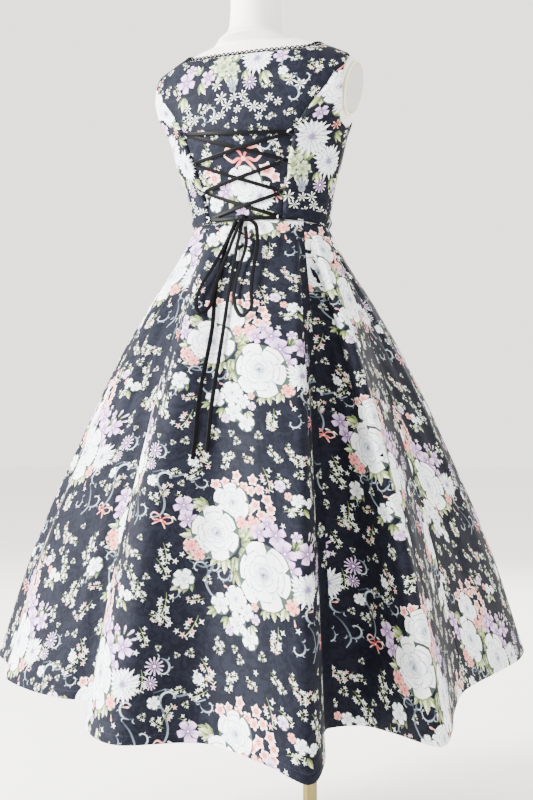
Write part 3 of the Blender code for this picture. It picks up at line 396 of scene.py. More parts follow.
def ribbonMesh(name, middle, normals, width, thick, cup):
    # a flat ribbon with rounded edges; its middle line is halfway through the cloth
    middle, normals = np.asarray(middle, float), np.asarray(normals, float)
    tangent = unit(np.gradient(middle, axis=0))
    across = unit(np.cross(tangent, normals))
    normals = unit(np.cross(across, tangent))
    length = lengthsTo(middle)
    points, spots = [], []
    for k, spot in enumerate(middle):
        for side, up in ribbonProfile:
            lift = up * thick + cup * (4 * side * side - 0.35)
            points.append(spot + across[k] * side * width + normals[k] * lift)
            spots.append((side * width, length[k]))
    made = newObject(name, points, tubeFaces(len(middle), len(ribbonProfile)), satin)
    setFlat(made.data, spots)
    made.data.set_sharp_from_angle(angle=math.radians(70))
    return made


backPlaces = np.linspace(0, 6, 240)


def skirtBackDepth(x, z):
    down = np.clip((dress["waist"] - z) / (dress["waist"] - dress["hem"]), 0.0, 1.0)
    row = skirtSurface(backPlaces, np.full(len(backPlaces), down))
    order = np.argsort(row[:, 0])
    return float(np.interp(x, row[order, 0], row[order, 1]))


def hangingLine(route, lift):
    middle, normals, reach = [], [], 0.004
    for x, z in resample(route, ribbon["step"] * 2):
        y = skirtBackDepth(x, min(z, dress["waist"]))
        slopeX = (skirtBackDepth(x + reach, z) - skirtBackDepth(x - reach, z)) / (2 * reach)
        slopeZ = (skirtBackDepth(x, z + reach) - skirtBackDepth(x, z - reach)) / (2 * reach)
        normal = unit(np.array([-slopeX, 1.0, -slopeZ]))
        middle.append(np.array([x, y, z]) + normal * lift)
        normals.append(normal)
    return np.array(middle), np.array(normals)


def makeFreeRibbons():
    for name, plan in freeRibbons.items():
        middle, normals = hangingLine(plan["route"], plan["lift"] + ribbon["thick"] / 2)
        thick = ribbon["thick"] * ribbon["pressed"]
        made = ribbonMesh(name, middle, normals, ribbon["width"], thick, ribbon["cup"])
        placed(made)


makeFreeRibbons()


# the print: motifs drawn on flat cloth, x to the right and y down, in metres
shades = {
    # heart, middle, tip
    "white": ((0.66, 0.71, 0.77), (0.92, 0.94, 0.96), (0.99, 0.99, 0.99)),
    "whiteDeep": ((0.5, 0.56, 0.63), (0.8, 0.84, 0.88), (0.985, 0.985, 0.99)),
    "shadow": ((0.4, 0.45, 0.51), (0.52, 0.57, 0.63), (0.64, 0.69, 0.74)),
    "lilac": ((0.5, 0.37, 0.57), (0.77, 0.65, 0.82), (0.92, 0.85, 0.94)),
    "lilacDeep": ((0.4, 0.28, 0.48), (0.58, 0.45, 0.65), (0.72, 0.6, 0.78)),
    "coral": ((0.66, 0.26, 0.27), (0.88, 0.5, 0.48), (0.95, 0.78, 0.75)),
    "blossom": ((0.82, 0.4, 0.39), (0.93, 0.66, 0.63), (0.99, 0.95, 0.94)),
    "blossomDeep": ((0.62, 0.2, 0.22), (0.78, 0.34, 0.34), (0.88, 0.48, 0.46)),
    "leaf": ((0.3, 0.36, 0.2), (0.54, 0.6, 0.37), (0.84, 0.88, 0.7)),
    "leafPale": ((0.46, 0.53, 0.34), (0.74, 0.8, 0.6), (0.94, 0.96, 0.86)),
    "leafDark": ((0.18, 0.23, 0.15), (0.32, 0.38, 0.24), (0.5, 0.56, 0.38)),
    "sage": ((0.4, 0.46, 0.32), (0.62, 0.68, 0.52), (0.84, 0.87, 0.74)),
    "scroll": ((0.2, 0.23, 0.27), (0.34, 0.38, 0.42), (0.52, 0.57, 0.6)),
    "scrollLight": ((0.46, 0.51, 0.55), (0.66, 0.71, 0.74), (0.84, 0.87, 0.88)),
    "star": ((0.62, 0.68, 0.64), (0.92, 0.94, 0.93), (0.98, 0.99, 0.99)),
    "eye": ((0.45, 0.48, 0.22), (0.7, 0.68, 0.36), (0.86, 0.84, 0.62)),
    "under": ((0.24, 0.29, 0.27), (0.24, 0.29, 0.27), (0.24, 0.29, 0.27)),
    "thread": ((0.2, 0.21, 0.26), (0.24, 0.25, 0.31), (0.2, 0.21, 0.26)),
}
deeper = {"white": "whiteDeep", "lilac": "lilacDeep", "coral": "coral", "sage": "leaf"}
behind = {"white": "shadow", "lilac": "lilacDeep", "coral": "blossomDeep", "sage": "leafDark"}


def turned(points, angle, x, y):
    c, s = math.cos(angle), math.sin(angle)
    return np.asarray(points, float) @ np.array([[c, s], [-s, c]]) + (x, y)


class Painting:
    # outlines in paint order, each with the line its three shades run along
    def __init__(self):
        self.outlines, self.rows = [], []

    def add(self, outline, shade, centre, angle, length, ring=False, lighten=0.0):
        self.outlines.append(np.asarray(outline, float))
        colours = [c for tone in shades[shade] for c in linear([min(1.0, v * (1 + lighten)) for v in tone])]
        self.rows.append([1.0 if ring else 0.0, *centre, math.cos(angle), math.sin(angle), length, *colours])

    def petal(self, x, y, angle, start, length, width, shade, notch=0.0, count=10, frill=0.0):
        t = 2 * math.pi * np.arange(count) / count
        along = 0.5 - 0.5 * np.cos(t)
        across = np.sin(t) * (along ** 0.62 * 0.85 + 0.15)
        dip = notch * np.exp(-((across / 0.22) ** 2)) * (along > 0.5)
        wave = 1 + frill * np.where(np.arange(count) % 2, 1.0, -1.0) * (along > 0.3)
        shape = np.stack([length * (along - dip), 0.5 * width * across], 1) * wave[:, None]
        x, y = x + start * math.cos(angle), y + start * math.sin(angle)
        self.add(turned(shape, angle, x, y), shade, (x, y), angle, length)

    def round(self, x, y, size, shade, count=7, lobes=0, depth=0.0, turn=0.0):
        t = 2 * math.pi * np.arange(count) / count
        radius = size * (1 + depth * np.cos(lobes * (t - turn)))
        ring = np.stack([x + radius * np.cos(t), y + radius * np.sin(t)], 1)
        self.add(ring, shade, (x, y), 0.0, size, ring=True)

    def stroke(self, line, widths, shade):
        line = np.asarray(line, float)
        tangent = unit(np.gradient(line, axis=0))
        side = np.stack([-tangent[:, 1], tangent[:, 0]], 1) * (np.asarray(widths, float)[:, None] / 2)
        span = line[-1] - line[0]
        outline = np.concatenate([line + side, (line - side)[::-1]])
        self.add(outline, shade, line[0], math.atan2(span[1], span[0]), max(np.linalg.norm(span), 1e-4))

    def crescent(self, x, y, size, angle, sweep, width, shade, count=5):
        t = angle + np.linspace(-sweep / 2, sweep / 2, count)
        spokes = np.stack([np.cos(t), np.sin(t)], 1)
        half = (width / 2 * np.sin(np.linspace(0.15, math.pi - 0.15, count)))[:, None]
        outline = np.concatenate([spokes * (size + half), (spokes * (size - half))[::-1]]) + (x, y)
        self.add(outline, shade, (x, y), angle, size + width)

    def whorl(self, x, y, size, turn, count, petals):
        # petals all round, each of one or more shapes: start, length, width, shade, notch, points, frill
        for j in range(count):
            angle = turn + 2 * math.pi * j / count
            for start, length, width, *look in petals:
                self.petal(x, y, angle, start * size, length * size, width * size, *look)

    def rose(self, x, y, size, turn, shade):
        self.round(x + 0.02 * size, y + 0.03 * size, 1.01 * size, "under", 18, 6, 0.04, turn)
        layers = (
            # petals, start, length, width, lead, shade
            (6, 0.15, 0.85, 0.98, 0.0, shade), (5, 0.1, 0.66, 0.84, 0.5, shade),
            (5, 0.06, 0.48, 0.62, 1.1, shade), (4, 0.02, 0.33, 0.44, 1.6, deeper[shade]),
        )
        for k, (count, start, length, width, lead, tone) in enumerate(layers):
            for j in range(count):
                angle = turn + lead + 2 * math.pi * j / count + 0.12 * math.sin(3.1 * j + k)
                grown = 1 + 0.09 * math.sin(2.3 * j + 1.7 * k + turn)
                if k:
                    self.petal(x, y, angle, start * size, length * size * grown * 1.07, width * size * 1.08,
                               behind[shade], 0.05)
                self.petal(x, y, angle, start * size, length * size * grown, width * size, tone, 0.06,
                           14 if k < 2 else 10, 0.03 if k < 3 else 0.0)
        for j in range(6):
            tone = deeper[shade] if j % 2 else behind[shade]
            self.crescent(x, y, size * (0.07 + 0.035 * j), turn + 2.2 * j, 2.0, size * 0.05, tone)

    def rosette(self, x, y, size, turn, shade):
        self.round(x + 0.03 * size, y + 0.04 * size, 0.99 * size, "under", 12, 5, 0.05, turn)
        self.whorl(x, y, size, turn, 5, (
            (0.1, 0.9, 1.05, behind[shade], 0.07, 8), (0.1, 0.86, 0.95, shade, 0.07, 12, 0.035)))
        self.whorl(x, y, size, turn + 0.6, 5, (
            (0.02, 0.56, 0.6, behind[shade], 0.05, 7), (0.02, 0.5, 0.52, shade, 0.05, 7)))
        self.crescent(x, y, 0.26 * size, turn + 0.8, 3.0, 0.11 * size, behind[shade])
        self.crescent(x, y, 0.16 * size, turn + 3.6, 3.0, 0.09 * size, deeper[shade])
        self.round(x, y, 0.09 * size, "eye" if shade == "white" else behind[shade], 5)

    def mum(self, x, y, size, turn, shade):
        rows = ((21, 1.0, 0.17, 0.0), (17, 0.82, 0.15, 0.2), (13, 0.6, 0.13, 0.5), (9, 0.38, 0.11, 0.1))
        for k, (count, reach, width, lead) in enumerate(rows):
            self.round(x, y, (reach - 0.3) * size, behind[shade], 12)
            for j in range(count):
                angle = turn + lead + 2 * math.pi * j / count + 0.06 * math.sin(7.7 * j + k)
                length = reach * (0.88 + 0.12 * math.sin(5.3 * j + 2 * k)) - 0.1
                tone = deeper[shade] if (j + k) % 3 == 0 else shade
                self.petal(x, y, angle, 0.1 * size, length * size, width * size, tone, 0.0, 6)
        self.whorl(x, y, size, turn, 6, ((0.02, 0.2, 0.14, "lilacDeep", 0.0, 5),))

    def daisy(self, x, y, size, turn, shade):
        self.whorl(x, y, size, turn, 12, ((0.12, 0.86, 0.26, shade, 0.0, 5),))
        self.round(x, y, 0.16 * size, "star", 5)

    def open(self, x, y, size, turn, shade):
        self.whorl(x, y, size, turn, 5, (
            (0.05, 0.98, 0.92, behind[shade], 0.1, 8), (0.05, 0.91, 0.82, shade, 0.1, 8)))
        self.whorl(x, y, size, turn, 5, ((0.1, 0.42, 0.1, behind[shade], 0, 4),))
        self.round(x, y, 0.1 * size, "star", 5)

    def blossom(self, x, y, size, turn, shade):
        t = 2 * math.pi * np.arange(25) / 25
        radius = size * (0.84 + 0.16 * np.cos(5 * (t - turn)) + 0.07 * np.cos(15 * (t - turn)))
        ring = np.stack([np.cos(t), np.sin(t)], 1) * radius[:, None]
        self.add(ring + (x, y), shade, (x, y), 0.0, size, ring=True)
        self.round(x, y, 0.42 * size, "blossomDeep", 10, 5, 0.35, turn)
        self.round(x, y, 0.13 * size, "eye", 5)

    def starFlower(self, x, y, size, turn, shade):
        for j in range(7):
            angle = turn + 2 * math.pi * j / 7 + 0.1 * math.sin(4.1 * j)
            self.petal(x, y, angle, 0.1 * size, 0.84 * size, 0.3 * size, shade, 0.0, 6)
        self.round(x, y, 0.13 * size, "eye", 5)

    def thistle(self, x, y, size, turn, shade):
        # a tuft of narrow petals above a round cup
        for j in range(9):
            angle = turn + (j - 4) * 0.21
            reach = size * (1.0 - 0.03 * (j - 4) ** 2)
            self.petal(x, y, angle, 0.0, reach, 0.17 * size, "scrollLight" if j % 2 else shade, 0.0, 6)
        self.round(x, y, 0.24 * size, shade, 8)

    def star(self, x, y, size, turn, shade, points=5):
        t = turn + math.pi * np.arange(2 * points) / points
        radius = np.where(np.arange(2 * points) % 2, 0.34, 1.0) * size
        ring = np.stack([x + radius * np.cos(t), y + radius * np.sin(t)], 1)
        self.add(ring, shade, (x, y), 0.0, size, ring=True)

    def leaf(self, x, y, length, turn, shade):
        s = np.arange(8) / 7
        ragged = 1 + 0.26 * (np.arange(8) % 2)
        half = np.stack([length * s, 0.18 * length * np.sin(math.pi * s**0.8) * ragged], 1)
        for side, lighten in ((1, 0.06), (-1, -0.25)):
            edge = turned(half * (1, side), turn, x, y)
            self.add(edge, shade, (x, y), turn, length, lighten=lighten)
        self.petal(x, y, turn, 0.05 * length, 0.85 * length, 0.05 * length, "leafPale", 0.0, 4)

    def spray(self, x, y, length, turn, shade):
        # three leaves from one stalk
        for lead, share, tone in ((-0.62, 0.78, shade), (0.58, 0.84, "leafDark"), (0.0, 1.0, shade)):
            self.leaf(x, y, length * share, turn + lead, tone)

    def tuft(self, x, y, size, turn, shade):
        for k in range(3):
            angle = turn + 2.1 * k
            green = "leafPale" if k % 2 else "leaf"
            self.petal(x, y, angle + 0.9, 0.05 * size, 0.85 * size, 0.28 * size, green, 0.0, 4)
            offX, offY = 0.7 * size * math.cos(angle), 0.7 * size * math.sin(angle)
            self.star(x + offX, y + offY, 0.44 * size, angle, shade)

    def spiral(self, x, y, size, turn, sweep, count, tight):
        t = np.linspace(0, 1, count)
        radius = size * (1 - (1 - tight) * t)
        return np.stack([x + radius * np.cos(turn + sweep * t), y + radius * np.sin(turn + sweep * t)], 1)

    def scroll(self, x, y, size, turn, shade, sweep=4.6):
        line = self.spiral(x, y, size, turn, sweep, 12, 0.28)
        widths = size * np.interp(np.linspace(0, 1, 12), (0, 0.25, 0.8, 1), (0.07, 0.24, 0.12, 0.22))
        self.stroke(line, widths, shade)
        for k in (0, 2, 4, 6, 8):
            out = math.atan2(line[k][1] - y, line[k][0] - x)
            reach = size * (0.52 - 0.03 * k) * 0.5
            x2, y2 = line[k][0] + reach * math.cos(out), line[k][1] + reach * math.sin(out)
            curl = self.spiral(x2, y2, reach, out + math.pi, -math.copysign(2.6, sweep), 5, 0.7)
            self.stroke(curl, reach * 2 * np.array([0.26, 0.34, 0.26, 0.14, 0.04]), shade)
            self.stroke(curl[:4], reach * np.array([0.05, 0.2, 0.18, 0.05]), "scrollLight")
        self.stroke(line[1:11], 0.36 * widths[1:11], "scrollLight")

    def scrollBack(self, x, y, size, turn, shade):
        self.scroll(x, y, size, turn, shade, -4.6)

    def vine(self, points, width, shade):
        keys = np.arange(len(points))
        t = np.linspace(0, keys[-1], 4 * len(points))
        line = np.stack([smoothValue(keys, np.asarray(points, float)[:, k], t) for k in (0, 1)], 1)
        self.stroke(line, width * (0.45 + 0.55 * np.sin(np.linspace(0.1, math.pi - 0.1, len(line)))), shade)

    def sprig(self, x, y, length, turn, shade):
        bend = turn + 0.5 * (np.linspace(0, 1, 6) - 0.5)
        alongX, alongY = np.cumsum(np.cos(bend)) / 6, np.cumsum(np.sin(bend)) / 6
        line = np.stack([x + length * alongX, y + length * alongY], 1)
        self.stroke(line, np.full(6, length * 0.014 + 0.0004), "leaf")
        for k in range(9):
            angle = bend[k % 6] + (0.9 if k % 2 else -0.9)
            root = line[0] + (line[-1] - line[0]) * (k + 0.5) / 9
            reach = length * (0.21 - 0.009 * k)
            x2, y2 = root[0] + reach * math.cos(angle), root[1] + reach * math.sin(angle)
            if k % 3 == 2:
                self.petal(x2, y2, angle, -reach, reach * 1.1, reach * 0.46, "leafPale", 0, 5)
            else:
                self.star(x2, y2, length * 0.118, angle, "star" if k % 3 == 0 else shade, 4 + k % 2)

    def bud(self, x, y, length, turn, shade):
        self.petal(x, y, turn, 0, length, 0.42 * length, shade, 0.0, 6)
        self.petal(x, y, turn, -0.15 * length, 0.45 * length, 0.26 * length, "leaf", 0.0, 5)

    def bow(self, x, y, size, turn, shade):
        # upper and lower stretch of a loop, and a tail, on either side
        lines = (
            ((0, 0), (0.26, -0.42), (0.78, -0.54), (1.0, -0.2)),
            ((0, 0), (0.3, 0.0), (0.6, 0.12), (1.0, -0.18)),
            ((0, 0), (0.2, 0.16), (0.4, 0.38), (0.58, 0.62)),
        )
        for side in (1, -1):
            for line in lines:
                self.vine(turned(np.array(line) * (side * size, size), turn, x, y), 0.15 * size, shade)
        self.round(x, y, 0.12 * size, shade, 6)


# one repeat of the print, in millimetres and degrees
repeat = {"width": 0.3, "height": 0.34}
undergrowth = (
    # kind and shade, then x, y, size and turn of each
    ("scroll", "scroll", (30, 70, 20, 90), (18, 26, 16, 250), (270, 250, 17, 60), (246, 300, 13, 300),
     (268, 206, 12, 10)),
    ("scrollBack", "scroll", (84, 78, 13, 190), (288, 292, 16, 150), (36, 252, 12, 100)),
    ("daisy", "lilac", (8, 22, 15, 0), (2, 46, 11, 20)),
    ("sprig", "blossom", (52, 40, 44, 10), (190, 36, 46, 70), (74, 282, 46, 120), (86, 262, 30, 170),
     (16, 110, 36, -60), (278, 12, 34, 150), (150, 30, 28, 10)),
    ("rosette", "white", (70, 42, 9, 0), (250, 86, 11, 10), (268, 90, 9, 40), (6, 74, 10, 0)),
    ("sprig", "star", (88, 52, 34, 150), (130, 20, 34, 110), (262, 40, 36, 60), (286, 60, 34, 100),
     (20, 170, 40, 80), (8, 196, 40, 60), (26, 246, 44, 100), (214, 272, 44, 95), (288, 190, 38, 90),
     (284, 130, 34, 70), (36, 96, 30, 30), (4, 280, 34, 40), (230, 12, 30, 20), (112, 36, 28, -20)),
    ("sprig", "blossom", (70, 8, 34, 60), (200, 290, 30, 60)),
    ("rosette", "lilac", (222, 66, 10, 0)),
    ("rosette", "coral", (236, 80, 7, 0)),
    ("leaf", "leaf", (258, 98, 18, 60)),
    ("leaf", "leafPale", (244, 96, 16, 110)),
    ("sprig", "star", (210, 52, 30, 20), (222, 108, 34, -10)),
    ("star", "star", (282, 172, 5.5, 0), (40, 206, 5.5, 0), (50, 196, 5, 10), (226, 128, 5, 20),
     (92, 32, 5.5, 0), (176, 14, 5, 5), (30, 300, 5.5, 0), (40, 312, 5, 30), (248, 276, 5, 0)),
    ("bow", "coral", (20, 140, 17, 20)),
)
bouquet = (
    ("scroll", "scroll", (96, 214, 17, 200), (112, 222, 15, -20)),
    ("scrollBack", "scroll", (74, 218, 14, 20)),
    ("spray", "leafPale", (88, 112, 26, 160), (70, 168, 24, 190), (118, 196, 28, 95), (132, 196, 30, 60),
     (146, 160, 26, -30), (232, 226, 26, 20), (74, 200, 24, 210), (168, 150, 24, -20)),
    ("spray", "leaf", (92, 120, 26, 200), (108, 194, 26, 130), (150, 168, 30, 10), (138, 214, 28, 70),
     (206, 252, 24, 80)),
    ("spray", "leafPale", (150, 178, 26, 60), (228, 250, 22, 110)),
    ("spray", "leafDark", (244, 164, 24, -60), (62, 236, 24, 120)),
    ("spray", "leaf", (52, 240, 22, 150)),
    ("blossom", "blossom", (104, 80, 9.5, 10), (120, 75, 8.5, 40), (143, 62, 9.5, 0), (140, 76, 9, 70),
     (158, 80, 10, 20), (176, 66, 10, 55), (172, 84, 9, 5), (188, 80, 9, 35), (200, 94, 9.5, 15),
     (206, 107, 9, 50), (180, 106, 10, 30), (168, 116, 10, 0), (205, 121, 9.5, 65), (190, 120, 8.5, 25),
     (158, 98, 9, 80)),
    ("open", "lilac", (54, 116, 17, 20), (60, 140, 16, 60), (214, 146, 19, 40), (200, 132, 13, 10),
     (228, 170, 21, 0), (238, 194, 17, 60), (262, 166, 18, 30), (247, 142, 9, 50)),
    ("bud", "lilac", (80, 122, 13, -20), (264, 146, 13, -75), (270, 148, 14, -40), (272, 155, 13, -15),
     (128, 232, 12, -80)),
    ("bud", "star", (33, 132, 9, 200), (42, 140, 9, 230)),
    ("rose", "white", (134, 108, 34, 20)),
    ("rosette", "coral", (152, 138, 12, 0)),
    ("rose", "white", (104, 160, 42, 80)),
    ("spray", "leafPale", (156, 146, 26, 10), (160, 160, 30, -50)),
    ("spray", "leaf", (150, 172, 28, -10)),
    ("spray", "leafPale", (146, 186, 30, 20), (140, 196, 28, 70)),
    ("rosette", "coral", (176, 138, 15, 30), (63, 182, 12.5, 0), (74, 196, 11.5, 40)),
    ("open", "lilac", (186, 148, 16, 0)),
    ("rose", "white", (192, 212, 50, 130), (138, 258, 22, 0)),
    ("mum", "white", (262, 218, 30, 20)),
    ("rosette", "coral", (239, 245, 12, 20)),
    ("bud", "coral", (262, 249, 11, 0), (242, 262, 10, 80), (124, 244, 11, 200)),
    ("rosette", "white", (108, 268, 17, 50), (160, 272, 14, 20), (140, 292, 18, 35), (165, 309, 17, 70),
     (51, 234, 17, 10)),
    ("rosette", "lilac", (124, 304, 9, 0), (177, 280, 8, 0)),
    ("rosette", "coral", (176, 262, 7, 0)),
    ("spray", "leafPale", (168, 290, 18, 60), (195, 262, 16, 100)),
    ("spray", "leaf", (120, 286, 20, 110), (100, 278, 18, 150)),
)
vines = (
    # width, points
    (3.0, ((6, 60), (26, 56), (40, 66), (56, 64), (66, 74), (80, 70))),
    (3.0, ((6, 62), (18, 84), (26, 110), (20, 130), (4, 136))),
    (2.8, ((262, 268), (274, 284), (280, 306), (270, 320))),
    (3.4, ((60, 206), (80, 216), (96, 212), (84, 236), (92, 256), (104, 262))),
)


# the stretch of the print at the bodice, from the middle of the back neckline
garden = (
    ("sprig", "star", (-8, 128, 30, 40), (36, 124, 26, 20), (-66, 138, 40, 70), (66, 130, 34, 80),
     (84, 196, 34, 90), (-118, 96, 34, 30), (100, 126, 34, 60), (-120, 160, 36, 70), (140, 84, 36, 90)),
    ("sprig", "blossom", (-40, 176, 30, 100), (118, 12, 34, 40), (-132, 30, 34, 60), (-84, 190, 36, 50),
     (124, 168, 36, 80)),
    ("sprig", "star", (140, 4, 30, 80)),
    ("scroll", "scroll", (92, 14, 15, 100), (100, 74, 17, 250), (-64, 108, 13, 180), (50, 152, 15, 300)),
    ("scrollBack", "scroll", (122, 42, 15, 200), (-50, 92, 18, 120), (-128, 214, 16, 90)),
    ("thistle", "scroll", (-5, 56, 26, -95)),
    ("starFlower", "star", (-36, 47, 11, 0), (-27, 70, 13, 20), (-14, 84, 11, 40), (-2, 70, 9, 10),
     (14, 68, 10, 0), (20, 82, 9, 30), (6, 92, 8, 0), (35, 90, 11, 20), (51, 92, 9, 50), (62, 76, 9, 0),
     (77, 84, 8, 10), (-38, 104, 11, 60), (-24, 99, 9, 15), (45, 107, 8, 0), (2, 110, 7, 30), (-96, 80, 9, 0),
     (-92, 94, 9, 30), (-80, 102, 10, 20), (97, 48, 11, 20), (114, 56, 11, 50), (66, 146, 10, 0),
     (-62, 164, 10, 10)),
    ("daisy", "lilac", (26, 47, 14, 0), (-110, 120, 12, 20)),
    ("spray", "leafPale", (-72, 24, 22, -110), (-70, 40, 24, 60), (-104, 60, 26, 100), (18, 26, 20, 80),
     (50, 30, 26, 70), (78, 36, 22, 20), (20, -74, 26, -30), (38, -72, 24, 30), (30, 222, 28, 20)),
    ("open", "lilac", (-100, 34, 21, 20), (-92, 12, 12, 50), (-54, 31, 15, 10), (77, 2, 14, 30),
     (-104, 252, 17, 40)),
    ("bud", "white", (-72, 88, 15, -70)),
    ("rosette", "white", (84, 32, 9, 0), (120, 226, 15, 10)),
    ("spray", "sage", (-20, 18, 36, 190), (-16, 18, 34, 130), (-24, 12, 34, 240), (-12, 10, 32, 290),
     (-12, 18, 30, 60)),
    ("rosette", "sage", (-26, 14, 20, 20), (-8, 22, 14, 60)),
    ("mum", "white", (36, 5, 33, 10), (0, -31, 37, 30)),
    ("spray", "leaf", (42, -44, 22, 40), (66, -110, 26, 20), (-14, 232, 30, 110), (-120, 240, 24, 190)),
    ("open", "lilac", (0, -74, 14, 0), (136, 244, 15, 0)),
    ("starFlower", "coral", (38, -56, 10, 0), (60, 238, 14, 30)),
    ("mum", "white", (34, -100, 31, 20)),
    ("bow", "coral", (12, 175, 35, 0)),
    ("blossom", "blossom", (50, 196, 14, 0), (-50, 204, 13, 20), (62, 208, 10, 40), (-62, 192, 9, 50),
     (78, 226, 9, 0), (88, 236, 9, 40)),
    ("spray", "leafPale", (-66, 186, 26, -80), (-58, 226, 28, 200), (110, 244, 24, 130)),
    ("rose", "white", (8, 217, 32, 40)),
    ("open", "lilac", (-30, 228, 17, 20)),
    ("rosette", "white", (-52, 246, 16, 0), (-84, 238, 14, 20)),
)
fill = {"pitch": 0.019, "clear": 0.0085, "size": 0.007, "sprig": 0.026}


def fillGround(painting, taken, seed):
    # small tufts wherever the charted motifs leave the ground bare
    draw = np.random.default_rng(seed)
    width, height = repeat["width"], repeat["height"]
    copies = np.array([(a * width, b * height + 0.5 * height * (a % 2))
                       for a in (-1, 0, 1) for b in (-2, -1, 0, 1)])
    spots = np.concatenate([outline[None] + copies[:, None] for outline in taken], 1).reshape(-1, 2)
    for x in np.arange(0, width, fill["pitch"]):
        for y in np.arange(0, height, fill["pitch"]):
            here = np.array((x, y)) + draw.uniform(-0.4, 0.4, 2) * fill["pitch"]
            turn, pick = draw.uniform(0, 2 * math.pi), draw.uniform()
            if np.min(np.sum((spots - here) ** 2, 1)) < fill["clear"] ** 2 or pick < 0.3:
                continue
            size = fill["size"] * (0.55 + 0.75 * draw.uniform())
            shade = "blossom" if pick > 0.9 else "star"
            if pick < 0.62:
                painting.tuft(*here, size, turn, shade)
            else:
                painting.sprig(*here, fill["sprig"] * (0.8 + 0.4 * draw.uniform()), turn, shade)
                size *= 1.6
            ring = here + size * np.array([(1, 0), (-1, 0), (0, 1), (0, -1)])
            spots = np.concatenate([spots, (ring[None] + copies[:, None]).reshape(-1, 2)])


def paintRepeat(charts, lines, seed):
    # the undergrowth comes first, so that a neighbour's never covers a bouquet
    layers = []
    for chart in charts:
        painting = Painting()
        for kind, shade, *motifs in chart:
            for x, y, size, turn in motifs:
                getattr(painting, kind)(x / 1000, y / 1000, size / 1000, math.radians(turn), shade)
        layers.append(painting)
    below = Painting()
    for width, points in lines:
        below.vine(np.array(points) / 1000, width / 1000, "scroll")
    fillGround(below, [outline for painting in layers for outline in painting.outlines], seed)
    layers = [below] + layers
    print("print charted:", sum(len(painting.outlines) for painting in layers), "shapes a repeat")
    return [(painting.outlines, np.array(painting.rows)) for painting in layers]


prints = {"skirt": paintRepeat((undergrowth, bouquet), vines, 7), "bodice": paintRepeat((garden,), (), 11)}


def printOver(layers, low, high, shift, reaches, furthest):
    # every shape of the print that touches this stretch of flat cloth, in paint order
    outlines, rows = [], []
    columns = range(math.floor((low[0] - shift[0]) / repeat["width"]) - 1,
                    math.ceil((high[0] - shift[0]) / repeat["width"]) + 1)
    for shapes, colours in layers:
        for across in columns:
            if shapes is layers[-1][0] and across > furthest:
                continue
            drop = shift[1] + repeat["height"] * 0.5 * (across % 2)
            lines = range(math.floor((low[1] - drop) / repeat["height"]) - 1,
                          math.ceil((high[1] - drop) / repeat["height"]) + 1)
            for line in lines:
                offset = np.array([shift[0] + across * repeat["width"], drop + line * repeat["height"]])
                for outline, colour in zip(shapes, colours):
                    moved = outline + offset
                    if reaches(moved):
                        row = colour.copy()
                        row[1:3] += offset
                        outlines.append(moved)
                        rows.append(row)
    return outlines, rows


# printed cotton with a woven-in pattern, navy where no motif is printed
printedCloth = {
    "ground": (0.064, 0.071, 0.104), "figure": (0.088, 0.096, 0.134), "mottle": 0.07, "wornInk": 0.93,
    "roughness": 0.66, "shine": 0.05, "sheen": 0.01, "sheenSpread": 0.5,
    "figureScale": 62.0, "puckerScale": 210.0, "cloudScale": 420.0, "weaveScale": 260.0,
    "figureRise": 0.00025, "puckerRise": 0.0012, "weaveRise": 0.0002,
    "figureStrength": 0.35, "pucker": 0.55, "weaveStrength": 0.12,
}


def makePrintedCloth():
    look = printedCloth
    made, tree, shader = finishes("printedCloth", {
        "Roughness": look["roughness"], "Specular IOR Level": look["shine"],
        "Sheen Weight": look["sheen"], "Sheen Roughness": look["sheenSpread"]})
    where = clothPlace(tree)
    figures = noise(tree, where, look["figureScale"], 2.5, 1.6)
    pucker = noise(tree, where, look["puckerScale"], 3.0, 0.4)
    cloudy = noise(tree, where, look["cloudScale"], 4.0)
    weave = bands(tree, where, "DIAGONAL", look["weaveScale"], 1.2)
    inFigure = ranged(tree, figures, 0.46, 0.54, 0.0, 1.0)
    ground = mixed(tree, inFigure, (*linear(look["ground"]), 1), (*linear(look["figure"]), 1))
    mottle = ranged(tree, cloudy, 0.3, 0.7, 1.0 - 2 * look["mottle"], 1.0)
    painted = addNode(tree, "ShaderNodeAttribute", {"attribute_name": "motifs"})
    inked = addNode(tree, "ShaderNodeAttribute", {"attribute_name": "ink"})
    woven = ranged(tree, inFigure, 0.0, 1.0, look["wornInk"], 1.0)
    cloudyInk = mixed(tree, 1.0, painted.outputs["Color"], mottle, "MULTIPLY")
    printed = mixed(tree, 1.0, cloudyInk, woven, "MULTIPLY")
    tree.links.new(mixed(tree, inked.outputs["Fac"], ground, printed), shader.inputs["Base Color"])
    raised = bumped(tree, shader, inFigure, look["figureStrength"], look["figureRise"])
    puckered = bumped(tree, shader, pucker, look["pucker"], look["puckerRise"], raised)
    bumped(tree, shader, weave, look["weaveStrength"], look["weaveRise"], puckered)
    return made


cotton = makePrintedCloth()


def creaseHeight(across, down, creases):
    # soft uneven troughs and ridges, each along its own line on the flat cloth
    height = np.zeros(len(across))
    for startX, startY, endX, endY, bend, width, rise in creases:
        spanX, spanY = endX - startX, endY - startY
        length = math.hypot(spanX, spanY)
        t = np.clip(((across - startX) * spanX + (down - startY) * spanY) / length**2, 0, 1)
        swing = bend * np.sin(math.pi * t)
        offX = across - startX - spanX * t
        offY = down - startY - spanY * t
        aside = (offX * spanY - offY * spanX) / length
        away, beyond = aside - swing, np.hypot(offX, offY) - np.abs(aside)
        spread = width * (0.75 + 0.5 * t)
        height += rise * np.sin(math.pi * np.clip(t * 0.96 + 0.02, 0, 1)) ** 0.7 * np.exp(
            -((away / spread) ** 2) - (np.maximum(beyond, 0) / (2 * width)) ** 2)
    return height


def turnedArea(outline):  # positive where the outline runs anticlockwise
    x, y = outline[:, 0], outline[:, 1]
    return 0.5 * np.sum(x * np.roll(y, -1) - np.roll(x, -1) * y)


